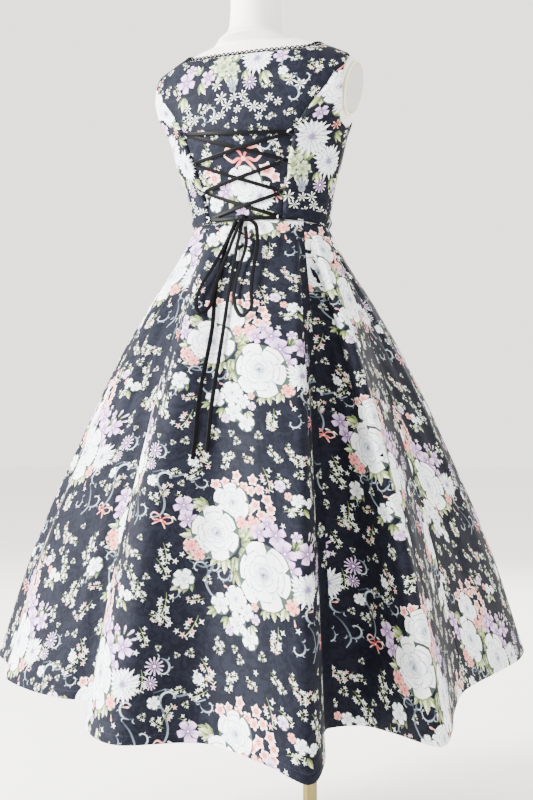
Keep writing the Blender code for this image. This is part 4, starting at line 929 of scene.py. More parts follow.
def box(low, bottom, high, top):
    return np.array([(low, bottom), (high, bottom), (high, top), (low, top)])


def insetOutline(outline, distance):
    before = unit(outline - np.roll(outline, 1, axis=0))
    after = unit(np.roll(outline, -1, axis=0) - outline)
    bisector = np.stack([-before[:, 1], before[:, 0]], 1) + np.stack([-after[:, 1], after[:, 0]], 1)
    scale = 2.0 / np.maximum(np.sum(bisector * bisector, axis=1, keepdims=True), 0.8)
    return outline + bisector * scale * distance


def outlineGap(outline, points):
    # distance to the outline, negative outside
    ends = np.roll(outline, -1, axis=0)
    span = ends - outline
    lengths = np.maximum(np.sum(span * span, 1), 1e-18)
    gaps, batch = np.empty(len(points)), 4000
    for first in range(0, len(points), batch):
        p = points[first:first + batch]
        rel = p[:, None] - outline[None]
        share = np.clip(np.sum(rel * span[None], 2) / lengths, 0, 1)
        gap = np.linalg.norm(rel - span[None] * share[..., None], axis=2).min(1)
        crosses = (outline[None, :, 1] > p[:, None, 1]) != (ends[None, :, 1] > p[:, None, 1])
        with np.errstate(divide="ignore", invalid="ignore"):
            at = outline[None, :, 0] + rel[..., 1] * span[None, :, 0] / span[None, :, 1]
        odd = np.sum(crosses & (p[:, None, 0] < at), 1) % 2 == 1
        gaps[first:first + batch] = np.where(odd, gap, -gap)
    return gaps


class FlatCloth:
    # the cut of a panel: true lengths along each level, and down its centre line
    def __init__(self, point, places, levels, centre, sign):
        self.point, self.places, self.levels, self.sign = point, places, levels, sign
        grid = np.array([point(places, np.full(len(places), q), 0.0) for q in levels])
        steps = np.linalg.norm(np.diff(grid, axis=1), axis=2)
        self.across = np.concatenate([np.zeros((len(levels), 1)), np.cumsum(steps, 1)], 1)
        self.across -= np.array([np.interp(centre, places, row) for row in self.across])[:, None]
        middle = point(np.full(len(levels), centre), levels, 0.0)
        self.along = lengthsTo(middle)

    def row(self, q):
        r = np.clip(np.interp(q, self.levels, np.arange(len(self.levels))), 0, len(self.levels) - 1.000001)
        return np.floor(r).astype(int), r - np.floor(r)

    def toFlat(self, p, q):
        p, q = np.asarray(p, float), np.asarray(q, float)
        i, t = self.row(q)
        out = np.empty(len(p))
        for r in np.unique(i):
            m = i == r
            low, high = (np.interp(p[m], self.places, self.across[k]) for k in (r, r + 1))
            out[m] = low + (high - low) * t[m]
        return np.stack([out, -self.sign * np.interp(q, self.levels, self.along)], 1)

    def fromFlat(self, flat):
        # flat has x to the right and y up
        q = np.interp(-self.sign * flat[:, 1], self.along, self.levels)
        i, t = self.row(q)
        edges = [self.across[i, k] * (1 - t) + self.across[i + 1, k] * t for k in (0, -1)]
        share = (flat[:, 0] - edges[0]) / (edges[1] - edges[0])
        p = np.empty(len(q))
        for r in np.unique(i):
            m = i == r
            ends = []
            for k in (r, r + 1):
                row = self.across[k]
                ends.append(np.interp(row[0] + share[m] * (row[-1] - row[0]), row, self.places))
            p[m] = ends[0] * (1 - t[m]) + ends[1] * t[m]
        return p, q


# how a panel is cut into triangles and laid: clearances, rows of points, and where creases fade
laying = {"gridClear": 0.0055, "edgeRows": (0.0012, 0.0032), "edgeClear": 0.0009, "hemRow": 0.0009,
          "hemStep": 0.006, "coarse": 1e-6, "fine": 1e-7, "bend": 0.02, "normalReach": 0.0012,
          "creaseFrom": 0.002, "creaseFade": 0.014, "tuckFade": 0.0035, "hemFade": 0.0016,
          "hemThick": 0.0005, "printPast": 0.001}


def directed(triangles):
    return np.concatenate([triangles[:, (0, 1)], triangles[:, (1, 2)], triangles[:, (2, 0)]])


def visibleLines(spots, triangles, topmost, inner):
    # the lines where one visible shape meets another, and the shapes on their left and right
    shapeOf = dict(zip(map(tuple, directed(triangles).tolist()), np.tile(topmost, 3).tolist()))
    nextTo = {}
    for (a, b), shape in shapeOf.items():
        if shapeOf.get((b, a), -1) != shape:
            nextTo.setdefault(a, set()).add(b)
            nextTo.setdefault(b, set()).add(a)

    def passedBy(v):
        # a point halfway along a straight visible line
        if v in inner or len(nextTo[v]) != 2:
            return False
        a, b = nextTo[v]
        if not all(line in shapeOf for line in ((v, a), (a, v), (v, b), (b, v))):
            return False
        one, two = spots[a] - spots[v], spots[b] - spots[v]
        size = math.hypot(*one) * math.hypot(*two)
        return one @ two < 0 and abs(one[0] * two[1] - one[1] * two[0]) < laying["bend"] * size

    passed = {v for v in nextTo if passedBy(v)}
    lines, sides = [], []
    for start in nextTo:
        if start in passed:
            continue
        for first in nextTo[start]:
            last, here = start, first
            while here in passed:
                last, here = here, next(v for v in nextTo[here] if v != last)
            if start < here:
                lines.append((start, here))
                sides.append((shapeOf.get((start, first), -1), shapeOf.get((first, start), -1)))
    return lines, sides


def spreadShapes(triangles, beside):
    # each triangle takes the shape of a line along it, or else its neighbour's
    owner = {}
    for k, face in enumerate(triangles.tolist()):
        for j in range(3):
            owner[face[j], face[(j + 1) % 3]] = k, j
    shapes = np.full(len(triangles), -1)
    neighbours = np.full((len(triangles), 3), -1)
    for (a, b), (k, j) in owner.items():
        if (a, b) in beside:
            shapes[k] = beside[a, b]
        else:
            neighbours[k, j] = owner.get((b, a), (-1, 0))[0]
    while True:
        spread = np.where(neighbours >= 0, shapes[neighbours], -1).max(1)
        fresh = (shapes < 0) & (spread >= 0)
        if not fresh.any():
            return np.maximum(shapes, 0)
        shapes[fresh] = spread[fresh]


def visibleShapes(spots, triangles, topmost, inner):
    # triangulates again without the outlines, and the crossings, that lie hidden under other shapes
    lines, sides = visibleLines(spots, triangles, topmost, inner)
    used = sorted({v for line in lines for v in line} | inner)
    place = {v: k for k, v in enumerate(used)}
    corners = [Vector(spots[v]) for v in used]
    found = delaunay_2d_cdt(corners, [(place[a], place[b]) for a, b in lines], [], 1, laying["fine"])
    points = np.array([tuple(v) for v in found[0]])
    triangles = np.array([tuple(f) for f in found[2]], int)
    beside = {}
    for (a, b), sources in zip(found[1], found[4]):
        if sources:
            start, end = lines[sources[0]]
            left, right = sides[sources[0]]
            if (points[b] - points[a]) @ (spots[end] - spots[start]) < 0:
                left, right = right, left
            beside[a, b], beside[b, a] = left, right
    return points, triangles, spreadShapes(triangles, beside)


def innerPoints(outline, plan, low, high):
    # an even grid, and rows beside the edges and along the turned-up hem
    stepX, stepY = plan["step"]
    grid = np.stack(np.meshgrid(np.arange(low[0] + stepX / 2, high[0], stepX),
                                np.arange(low[1] + stepY / 2, high[1], stepY)), -1).reshape(-1, 2)
    grid = grid[plan["gap"](grid) > laying["gridClear"]]
    rows = [insetOutline(outline, distance) for distance in laying["edgeRows"]]
    if "turnUp" in plan:
        for height in (plan["turnUp"] - laying["hemRow"], plan["turnUp"] + laying["hemRow"]):
            line = np.arange(low[0], high[0], laying["hemStep"])
            rows.append(np.stack([line, np.full(len(line), low[1] + height)], 1))
    beside = np.concatenate(rows)
    return grid, np.concatenate([grid, beside[outlineGap(outline, beside) > laying["edgeClear"]]])


def printedTriangles(outline, shapes, inner):
    # the cloth cut along the outlines of its print, with the topmost shape at each triangle
    flat = [outline] + [shape * (1, -1) for shape in shapes]
    starts = np.r_[0, np.cumsum([len(shape) for shape in flat])]
    faces = []
    for k, shape in enumerate(flat):
        span = list(range(starts[k], starts[k + 1]))
        faces.append(span if turnedArea(shape) > 0 else span[::-1])
    corners = [Vector(p) for p in np.concatenate(flat + [inner])]
    found = delaunay_2d_cdt(corners, [], faces, 1, laying["coarse"])
    spots = np.array([tuple(v) for v in found[0]])
    kept = [(f, max(o)) for f, o in zip(found[2], found[5]) if 0 in o]
    triangles, topmost = (np.array(values, int) for values in zip(*kept))
    inside = {k for k, sources in enumerate(found[3]) if any(source >= starts[-1] for source in sources)}
    spots, triangles, topmost = visibleShapes(spots, triangles, topmost, inside)
    used, triangles = np.unique(triangles, return_inverse=True)
    return spots[used], triangles.reshape(-1, 3), topmost


def outerEdge(triangles):
    # the points round the filled cloth, in order
    seen = set(map(tuple, directed(triangles).tolist()))
    follow = {a: b for a, b in seen if (b, a) not in seen}
    edge = [next(iter(sorted(follow)))]
    while follow[edge[-1]] != edge[0]:
        edge.append(follow[edge[-1]])
    return np.array(edge)


def wrongSide(spots, edge, grid):
    # the same outline with plain points inside, and the points that lie behind its edge
    corners = [Vector(p) for p in np.concatenate([spots[edge], grid])]
    back = delaunay_2d_cdt(corners, [], [list(range(len(edge)))], 1, laying["fine"])
    placeOf = {source: made for made, sources in enumerate(back[3]) for source in sources}
    behind = np.array([placeOf[k] for k in range(len(edge))])
    return np.array([tuple(v) for v in back[0]]), np.array(back[2], int)[:, ::-1], behind


def paintPrint(mesh, spots, triangles, topmost, colours, plainFrom):
    # colours at the corners of each triangle, from the topmost shape there
    ink = np.zeros(len(mesh.loops))
    paint = np.ones((len(mesh.loops), 4))
    paint[:, :3] = linear(printedCloth["ground"])
    inked = np.nonzero((topmost > 0) & (topmost < plainFrom))[0]
    row = np.array(colours)[topmost[inked] - 1][:, None]
    corner = spots[triangles[inked]] * (1, -1)
    offX, offY = corner[..., 0] - row[..., 1], corner[..., 1] - row[..., 2]
    straight = (offX * row[..., 3] + offY * row[..., 4]) / row[..., 5]
    reach = np.where(row[..., 0] > 0.5, np.hypot(offX, offY) / row[..., 5], straight)
    reach = np.clip(reach, 0, 1)[..., None]
    heart, middle, tip = (row[..., 6 + 3 * k:9 + 3 * k] for k in range(3))
    near, far = heart + (middle - heart) * reach * 2, middle + (tip - middle) * (reach * 2 - 1)
    loops = (inked[:, None] * 3 + np.arange(3)).ravel()
    ink[loops] = 1.0
    paint[loops, :3] = np.where(reach < 0.5, near, far).reshape(-1, 3)
    setPrint(mesh, paint, ink)


def setPrint(mesh, paint, ink):
    mesh.color_attributes.new(name="motifs", type="FLOAT_COLOR", domain="CORNER")
    mesh.color_attributes["motifs"].data.foreach_set("color", np.asarray(paint, np.float32).ravel())
    mesh.attributes.new("ink", "FLOAT", "CORNER")
    mesh.attributes["ink"].data.foreach_set("value", np.asarray(ink, np.float32))


def shadeSmooth(mesh, laid, spots, firstBack, rimFrom):
    # shading normals from the laid shape itself, so that the print's triangles don't show
    reach = laying["normalReach"]
    right = laid(spots + (reach, 0)) - laid(spots - (reach, 0))
    up = laid(spots + (0, reach)) - laid(spots - (0, reach))
    normals = unit(np.cross(right, up))
    normals[firstBack:] *= -1
    corners = np.zeros(len(mesh.loops), np.int32)
    mesh.loops.foreach_get("vertex_index", corners)
    byCorner = normals[corners]
    flatNormals = np.zeros(len(mesh.polygons) * 3)
    mesh.polygons.foreach_get("normal", flatNormals)
    byCorner[3 * rimFrom:] = np.repeat(flatNormals.reshape(-1, 3)[rimFrom:], 4, axis=0)
    mesh.normals_split_custom_set(byCorner.tolist())


def laySheet(name, cut, outline, plan):
    # triangulates the flat panel with its print, lays it on its form and closes it with a wrong side
    if turnedArea(outline) < 0:
        outline = outline[::-1]
    low, high = outline.min(0), outline.max(0)

    def laid(flat, out=0.0):
        p, q = cut.fromFlat(flat)
        height = creaseHeight(flat[:, 0], -flat[:, 1], plan["creases"])
        gap = plan["gap"](flat)
        height = height * smoothStep((gap + laying["creaseFrom"]) / laying["creaseFade"])
        height -= plan["tuck"] * (1 - smoothStep(gap / laying["tuckFade"]))
        if "turnUp" in plan:
            fromHem = flat[:, 1] - low[1] - plan["turnUp"] + laying["hemFade"] / 2
            height += laying["hemThick"] * (1 - smoothStep(fromHem / laying["hemFade"]))
        return cut.point(p, q, height + out)

    def reaches(shape):
        (x0, y0), (x1, y1) = shape.min(0), shape.max(0)
        if x1 < low[0] or x0 > high[0] or -y0 < low[1] or -y1 > high[1]:
            return False
        half = math.hypot(x1 - x0, y1 - y0) / 2
        return plan["gap"](np.array([[(x0 + x1) / 2, -(y0 + y1) / 2]]))[0] > -half - laying["printPast"]

    shapes, colours = printOver(prints[plan["print"]], (low[0], -high[1]), (high[0], -low[1]),
                                plan["printShift"], reaches, plan.get("furthest", 9))
    stitches, plain = plan.get("stitches", []), plan.get("plain", [])
    shapes += stitches
    colours += [stitchRow(stitch) for stitch in stitches]
    grid, inner = innerPoints(outline, plan, low, high)
    spots, triangles, topmost = printedTriangles(outline, shapes + plain, inner)
    edge = outerEdge(triangles)
    backSpots, backTriangles, behind = wrongSide(spots, edge, grid)
    count = len(spots)
    backTriangles, behind = backTriangles + count, behind + count
    rim = np.stack([np.roll(edge, -1), edge, behind, np.roll(behind, -1)], 1)

    points = np.concatenate([laid(spots), laid(backSpots, -plan["wall"])])
    made = newObject(name, points, triangles.tolist() + backTriangles.tolist() + rim.tolist(), cotton)
    allSpots = np.concatenate([spots, backSpots])
    setFlat(made.data, allSpots)
    paintPrint(made.data, spots, triangles, topmost, colours, len(shapes) + 1)
    shadeSmooth(made.data, laid, allSpots, count, len(triangles) + len(backTriangles))

    cutArea = abs(float(turnedArea(outline)))
    size = high - low
    placed(made)
    print(name, len(triangles), "triangles of print, cut", np.round(size, 3), round(cutArea, 4))
    return made, (float(size[0]), float(size[1])), cutArea


def stitchRow(stitch):
    colour = [c for tone in shades["thread"] for c in linear(tone)]
    return np.array([0.0, *stitch[0], 1.0, 0.0, 0.002, *colour])


# skirt: six gores
skirt = {"print": "skirt", "step": (0.0085, 0.014), "wall": 0.0017, "tuck": 0.001, "turnUp": 0.0125,
         "stitch": 0.0022, "stitchPitch": 0.0036, "stitchIn": 0.0005, "stitchEnd": 0.004, "thread": 0.00045,
         "edgeStep": 0.006, "rowSteps": 14, "levels": 61, "topSteps": 40, "hemRoom": 0.01}
gores = {
    # first and last row of skirtFolds, place of the print, creases
    "skirtBackCentre": {
        "rows": (0, 8), "printShift": (-0.189, 0.452), "furthest": 0,
        "hangsFrom": ("bodice_back_centre", "bodice_back_side_left", "bodice_back_side_right"), "creases": (
        # startX, startY, endX, endY, bend, width, rise, on the flat cloth with y down from the waist
        (-0.06, -0.01, -0.085, 0.11, 0.002, 0.005, -0.0022),
        (-0.035, -0.01, -0.06, 0.075, 0.001, 0.004, -0.0014),
        (0.044, -0.01, 0.05, 0.09, -0.001, 0.0045, -0.002),
        (0.082, 0.01, 0.118, 0.56, 0.006, 0.013, -0.007),
        (0.066, 0.06, 0.07, 0.84, 0.0, 0.011, 0.0042),
        (-0.122, 0.12, -0.3, 0.72, -0.01, 0.02, -0.007),
        (-0.19, 0.42, -0.24, 0.82, 0.01, 0.024, 0.0045),
        (-0.095, 0.38, -0.12, 0.76, -0.008, 0.026, 0.0035),
        (0.02, 0.42, 0.03, 0.78, 0.008, 0.024, -0.0035),
        (0.165, 0.48, 0.205, 0.86, -0.006, 0.022, -0.005),
    )},
    "skirtBackSideRight": {
        "rows": (8, 14), "printShift": (-0.125, 0.631),
        "hangsFrom": ("bodice_back_side_right",), "creases": (
        (-0.026, -0.01, -0.046, 0.47, 0.006, 0.0085, -0.0075),
        (-0.01, -0.01, -0.018, 0.3, -0.001, 0.006, 0.0032),
        (0.003, 0.2, 0.0, 0.86, 0.002, 0.014, 0.005),
        (0.024, -0.01, 0.05, 0.32, -0.003, 0.007, -0.005),
        (0.055, 0.3, 0.13, 0.86, -0.008, 0.022, -0.0075),
        (0.05, -0.01, 0.1, 0.26, 0.002, 0.007, 0.003),
        (-0.08, 0.47, -0.12, 0.84, 0.004, 0.02, -0.005),
    )},
    "skirtFrontSideRight": {
        "rows": (14, 19), "printShift": (-0.382, 0.308),
        "hangsFrom": ("bodice_front_side_right",), "creases": (
        (-0.04, -0.01, -0.11, 0.32, 0.004, 0.007, -0.0045),
        (0.02, -0.01, 0.044, 0.12, -0.001, 0.006, -0.003),
        (-0.15, 0.26, -0.23, 0.78, 0.01, 0.022, -0.007),
        (-0.066, 0.18, -0.1, 0.7, 0.004, 0.018, 0.0045),
        (0.06, 0.26, 0.105, 0.64, -0.006, 0.018, -0.0045),
    )},
    "skirtFrontCentre": {
        "rows": (19, 23), "printShift": (0.02, 0.09),
        "hangsFrom": ("bodice_front_centre",), "creases": (
        (-0.06, -0.01, -0.09, 0.12, 0.002, 0.005, -0.0022),
        (-0.022, -0.01, -0.03, 0.07, 0.001, 0.004, -0.0014),
        (0.03, -0.01, 0.044, 0.085, -0.001, 0.0045, -0.0016),
        (0.064, -0.01, 0.1, 0.11, -0.002, 0.005, -0.0022),
        (-0.12, 0.36, -0.17, 0.72, 0.008, 0.022, -0.0042),
        (0.02, 0.44, 0.016, 0.78, -0.006, 0.024, 0.0034),
        (0.13, 0.34, 0.165, 0.7, 0.006, 0.022, -0.004),
    )},
    "skirtFrontSideLeft": {
        "rows": (23, 26), "printShift": (0.23, 0.2),
        "hangsFrom": ("bodice_front_side_left",), "creases": (
        (-0.018, -0.01, -0.034, 0.09, 0.001, 0.0045, -0.002),
        (0.022, -0.01, 0.036, 0.11, -0.001, 0.005, -0.002),
        (-0.05, 0.32, -0.08, 0.69, 0.006, 0.018, -0.0036),
        (0.07, 0.36, 0.1, 0.74, -0.006, 0.018, 0.003),
    )},
    "skirtBackSideLeft": {
        "rows": (26, 32), "printShift": (-0.183, 0.564),
        "hangsFrom": ("bodice_back_side_left",), "creases": (
        (-0.034, -0.01, -0.08, 0.2, 0.002, 0.006, -0.0034),
        (0.02, -0.01, 0.05, 0.3, -0.002, 0.0065, -0.0048),
        (0.05, -0.01, 0.12, 0.56, 0.004, 0.009, -0.005),
        (0.036, 0.06, 0.086, 0.46, 0.002, 0.009, 0.0036),
        (-0.11, 0.32, -0.16, 0.74, 0.006, 0.022, -0.006),
        (0.01, 0.38, 0.02, 0.74, -0.006, 0.02, 0.004),
        (0.11, 0.5, 0.16, 0.78, 0.006, 0.02, -0.0055),
    )},
}


def skirtPoint(place, down, out=0.0):
    here = skirtSurface(place, down)
    if np.all(np.asarray(out) == 0.0):
        return here
    side, fall = 0.02, 0.002
    along = skirtSurface(place + side, down) - skirtSurface(place - side, down)
    low, high = np.clip(down + fall, 0, 1), np.clip(down - fall, 0, 1)
    up = skirtSurface(place, high) - skirtSurface(place, low)
    return here + unit(np.cross(along, up)) * np.asarray(out)[..., None]


def makeSkirt():
    for name, plan in gores.items():
        first, last = plan["rows"]
        places = np.linspace(first, last, (last - first) * skirt["rowSteps"] + 1)
        cut = FlatCloth(skirtPoint, places, np.linspace(0, 1, skirt["levels"]), (first + last) / 2, 1)
        length = cut.along[-1]

        def sides(down, cut=cut):
            return [np.interp(down, cut.along, cut.across[:, k]) for k in (0, -1)]

        down = np.linspace(0, length, int(length / skirt["edgeStep"]) + 1)
        draw = dress["seam"] * 0.8
        left, right = (np.stack([x, -down], 1) for x in np.add(sides(down), [[draw], [-draw]]))
        hemCount = int((right[-1, 0] - left[-1, 0]) / skirt["edgeStep"])
        top = np.linspace(left[0], right[0], skirt["topSteps"])[1:-1]
        hem = np.linspace(left[-1], right[-1], hemCount)[1:-1]
        outline = np.concatenate([left, hem, right[::-1], top[::-1]])

        def gap(flat, sides=sides, length=length):
            low, high = sides(np.clip(-flat[:, 1], 0, length))
            fromEnds = np.minimum(-flat[:, 1], length + flat[:, 1] + skirt["hemRoom"])
            return np.minimum(np.minimum(flat[:, 0] - low, high - flat[:, 0]), fromEnds)

        line, half = length - skirt["turnUp"] - skirt["stitchIn"], skirt["thread"] / 2
        firstStitch, lastStitch = left[-1, 0] + skirt["stitchEnd"], right[-1, 0] - skirt["stitchEnd"]
        starts = np.arange(firstStitch, lastStitch, skirt["stitchPitch"])
        stitches = [box(x, line - half, x + skirt["stitch"], line + half) for x in starts]
        made, size, area = laySheet(name, cut, outline, {**skirt, **plan, "gap": gap, "stitches": stitches})


makeSkirt()
print("skirt laid")


# bodice: seams and edges of its left half, from cloth points (side, height)
backPrincess = ((0.07, 1.114), (0.0733, 1.158), (0.0805, 1.184), (0.0872, 1.214), (0.096, 1.2425),
                (0.106, 1.27), (0.133, 1.31), (0.16, 1.347), (0.1785, 1.372))
backShoulderEdge = ((0.1785, 1.372), (0.179, 1.385), (0.172, 1.3969))
backArmhole = ((0.1785, 1.372), (0.1772, 1.339), (0.173, 1.303), (0.166, 1.284))
frontPrincess = ((0.07, 1.1), (0.079, 1.16), (0.092, 1.215), (0.105, 1.26), (0.128, 1.31),
                 (0.152, 1.345))
frontShoulderEdge = ((0.152, 1.345), (0.157, 1.376), (0.172, 1.3969))
frontArmhole = ((0.152, 1.345), (0.153, 1.315), (0.16, 1.286))
backNeckline = ((0.127, 1.4185), (0.1262, 1.415), (0.1225, 1.408), (0.113, 1.403), (0.09, 1.4),
                (0.05, 1.398), (0.0, 1.397))
frontNeckline = ((0.127, 1.4185), (0.124, 1.395), (0.119, 1.365), (0.112, 1.346), (0.096, 1.336),
                 (0.06, 1.332), (0.0, 1.331))
quarter = math.pi / 2 * dress["girthRadius"]  # from the side seam to the centre, in cloth girth
edgeStep = 0.006  # between points along an edge


def bodiceCurve(rows, front, step=edgeStep):
    return resample([bodicePlace(x, z, front) for x, z in rows], step)


def trueResample(line, step):
    fine = resample(line, 0.001)
    return evenly(fine, lengthsTo(bodiceSurface(*fine.T)), step)


def mirrored(points, front):
    out = np.array(points, float)
    out[:, 0] = (-2 if front else 2) * quarter - out[:, 0]
    return out


def joined(*lines):
    out = []
    for line in lines:
        for point in line:
            if not out or np.linalg.norm(np.subtract(point, out[-1])) > 1e-5:
                out.append(np.array(point, float))
    if np.linalg.norm(out[0] - out[-1]) < 1e-5:
        out.pop()
    return np.array(out)


def halfLines(front):
    princess = bodiceCurve(frontPrincess if front else backPrincess, front)
    princess[0, 1] = 0.0
    armhole = [bodicePlace(x, z, front) for x, z in (frontArmhole if front else backArmhole)]
    lower = resample(armhole + [(0.0, bodicePlace(1.0, dress["underarm"], front)[1])], edgeStep)
    upper = bodiceCurve(frontShoulderEdge if front else backShoulderEdge, front)
    across = np.linspace(dress["ridgeOuter"], dress["ridgeInner"], 8)
    shoulder = [bodicePlace(x, float(ridgeHeight(x)), front) for x in across]
    upper[-1] = shoulder[0]
    neck = trueResample(bodiceCurve(frontNeckline if front else backNeckline, front), edgeStep)
    neck[0] = shoulder[-1]
    return princess, lower, upper, shoulder, neck


def waistLine(start, end):
    count = max(2, int(round(abs(end - start) / edgeStep)) + 1)
    return np.stack([np.linspace(start, end, count), np.zeros(count)], 1)


def sideOutline(front, right):
    princess, lower, _, _, _ = halfLines(front)
    count = int(round(lower[-1][1] / edgeStep)) + 1
    seam = np.stack([np.zeros(count), np.linspace(lower[-1][1], 0, count)], 1)
    outline = joined(waistLine(0.0, princess[0][0]), princess, lower, seam)
    return mirrored(outline, front) if right else outline


def centreOutline(front):
    princess, _, upper, shoulder, neck = halfLines(front)
    half = joined(princess, upper, shoulder, neck)
    waist = waistLine(princess[0][0], mirrored(princess[:1], front)[0][0])
    return joined(waist, mirrored(half, front), half[::-1])


# raised edges of the side backs where the lacing pulls, and the soft roll above the waist seam
raised = {"height": 0.005, "round": 0.0045, "fade": 0.03, "low": 1.083, "lowFade": 0.024,
          "high": 1.312, "highFade": 0.04}
roll = {"rise": 0.012, "half": 0.0095, "height": 0.004, "plainLow": 0.003, "plainHigh": 0.0215}
seamLine = bodiceCurve(backPrincess, False, 0.004)


def raisedEdge(girth, rise):
    girth = np.where(girth > quarter, 2 * quarter - girth, girth)
    away = np.maximum(np.interp(rise, seamLine[:, 1], seamLine[:, 0]) - girth, 0.0)
    z = bodiceSurface(girth, rise)[..., 2]
    share = smoothStep((z - raised["low"]) / raised["lowFade"])
    share = share * smoothStep((raised["high"] - z) / raised["highFade"])
    near = np.sqrt(np.maximum(0.0, 1 - (1 - np.minimum(away / raised["round"], 1.0)) ** 2))
    return raised["height"] * share * near * (1 - smoothStep((away - raised["round"]) / raised["fade"]))


def waistRoll(rise):
    across = np.clip(np.abs(rise - roll["rise"]) / roll["half"], 0, 1)
    return roll["height"] * np.cos(across * math.pi / 2) ** 2


def sideFrontPoint(girth, rise, out=0.0):
    return bodicePoint(girth, rise, waistRoll(rise) + out)


def sideBackPoint(girth, rise, out=0.0):
    return bodicePoint(girth, rise, np.maximum(waistRoll(rise), raisedEdge(girth, rise)) + out)


bodice = {"print": "bodice", "step": (0.009, 0.009), "wall": 0.0017, "tuck": 0.0008}
centreBackCreases = (
    # drag lines between the lacing's loops, and a soft line down the middle
    (-0.07, -0.14, 0.02, -0.13, -0.004, 0.006, -0.0008),
    (-0.01, -0.098, 0.075, -0.09, 0.003, 0.0055, -0.0008),
    (-0.068, -0.062, 0.01, -0.052, 0.003, 0.005, -0.0009),
    (0.0, -0.03, 0.064, -0.022, -0.002, 0.0045, -0.0008),
    (0.001, -0.005, -0.001, -0.25, 0.0, 0.0018, -0.0006),
    (-0.105, -0.21, -0.06, -0.262, 0.006, 0.01, 0.0012),
    (0.105, -0.208, 0.066, -0.258, -0.006, 0.01, 0.0012),
)
sideCreases = (
    (-0.02, -0.03, 0.03, -0.06, 0.003, 0.006, -0.001),
    (0.01, -0.08, -0.034, -0.115, 0.004, 0.007, -0.0012),
    (-0.026, -0.1, 0.01, -0.15, -0.004, 0.008, 0.001),
)
panels = {
    "bodiceBackCentre": {"printShift": (0.0, -0.278), "creases": centreBackCreases},
    "bodiceBackSideLeft": {"printShift": (-0.005, -0.114), "creases": sideCreases},
    "bodiceBackSideRight": {"printShift": (-0.018, -0.112), "creases": sideCreases},
    "bodiceFrontCentre": {"printShift": (-0.012, -0.258), "creases": centreBackCreases[5:]},
    "bodiceFrontSideLeft": {"printShift": (-0.01, -0.13), "creases": sideCreases},
    "bodiceFrontSideRight": {"printShift": (0.004, -0.096), "creases": sideCreases},
}


def makeBodice():
    made = []
    for name, plan in panels.items():
        front, side = "Front" in name, "Side" in name
        if side:
            outline = sideOutline(front, name.endswith("Right"))
            point = sideFrontPoint if front else sideBackPoint
        else:
            outline, point = centreOutline(front), bodicePoint
        low, high = outline.min(0), outline.max(0)
        places = np.linspace(low[0] - 0.02, high[0] + 0.02, 120)
        levels = np.linspace(0, high[1] + 0.01, 80)
        cut = FlatCloth(point, places, levels, (low[0] + high[0]) / 2, -1)
        flat = cut.toFlat(*outline.T)
        if turnedArea(flat) < 0:
            flat = flat[::-1]
        flat = insetOutline(flat, dress["seam"] * 0.85)

        def gap(spots, flat=flat):
            return outlineGap(flat, spots)

        plain = []
        if side and not front:
            left, right = flat[:, 0].min() - 0.01, flat[:, 0].max() + 0.01
            plain = [box(left, -roll["plainHigh"], right, -roll["plainLow"])]
        made.append(laySheet(name, cut, flat, {**bodice, **plan, "gap": gap, "plain": plain}))
    return made


bodicePieces = makeBodice()
print("bodice laid")


# black picot lace standing on the neckline
laceWork = {"gap": 0.0006, "sink": -0.0006, "pitch": 0.009, "peak": 0.0079, "band": 0.0012, "foot": 0.0008,
            "strand": 0.00085, "fine": 0.0006, "dark": (0.02, 0.02, 0.025), "pale": (0.05, 0.05, 0.06)}


def makeLaceThread():
    made, tree, shader = finishes("blackLaceThread", {"Roughness": 0.85, "Specular IOR Level": 0.1})
    twist = noise(tree, solidPlace(tree), 900.0, 2.0)
    tinted(tree, twist, laceWork["dark"], laceWork["pale"], shader)
    bumped(tree, shader, twist, 0.4, 0.0002)
    return made


laceThread = makeLaceThread()


def threadTube(points, faces, path, radius, sides=5):
    # one strand of thread added to a joined mesh
    tangent = unit(np.gradient(path, axis=0))
    guide = np.array([0.13, 0.31, 0.94])
    one = unit(np.cross(tangent, guide))
    two = np.cross(tangent, one)
    start = len(points)
    points.extend(ringsAlong(path, one, two, radius, radius, sides))
    faces += [tuple(start + v for v in face) for face in tubeFaces(len(path), sides)]


def makeLace(front, name):
    curve = bodiceCurve(frontNeckline if front else backNeckline, front)
    half = trueResample(curve, laceWork["pitch"] / 2)
    line = joined(half, mirrored(half, front)[::-1])
    tangent = unit(np.gradient(line, axis=0))
    away = np.stack([-tangent[:, 1], tangent[:, 0]], 1) * (-1 if front else 1)
    keys = np.arange(len(line))
    feet = bodicePoint(*line.T, laceWork["sink"])
    above = line + unit(away) * 0.002
    ups = unit(bodicePoint(*above.T, laceWork["sink"]) - feet)

    def spots(at, height):
        at = np.clip(np.asarray(at, float), 0.06, keys[-1] - 0.06)
        foot = np.stack([np.interp(at, keys, feet[:, k]) for k in range(3)], 1)
        up = unit(np.stack([np.interp(at, keys, ups[:, k]) for k in range(3)], 1))
        return foot + up * (np.asarray(height, float)[:, None] + laceWork["gap"])

    points, faces = [], []
    fine = np.linspace(0, keys[-1], 4 * len(line))
    threadTube(points, faces, spots(fine, np.full(len(fine), laceWork["foot"])), laceWork["strand"])
    for k in range((len(line) - 1) // 2):
        sway = 0.05 * math.sin(2.1 * k) + 0.03 * math.sin(5.3 * k)
        t = np.linspace(0, math.pi, 11)
        tall = laceWork["peak"] - laceWork["band"] - laceWork["strand"] - 0.0003 * (1 + math.sin(3.7 * k))
        for spread, share, radius in ((0.9, 1.0, laceWork["strand"]), (0.58, 0.74, laceWork["fine"])):
            thread = spots(2 * k + 1 - spread * np.cos(t) + sway * np.sin(t),
                           laceWork["band"] + share * tall * np.sin(t) ** 1.25)
            threadTube(points, faces, thread, radius)
    made = newObject(name, points, faces, laceThread)
    placed(made)
    print(name, len(faces), "faces")
    return made


backLace = makeLace(False, "neckLaceBack")
frontLace = makeLace(True, "neckLaceFront")


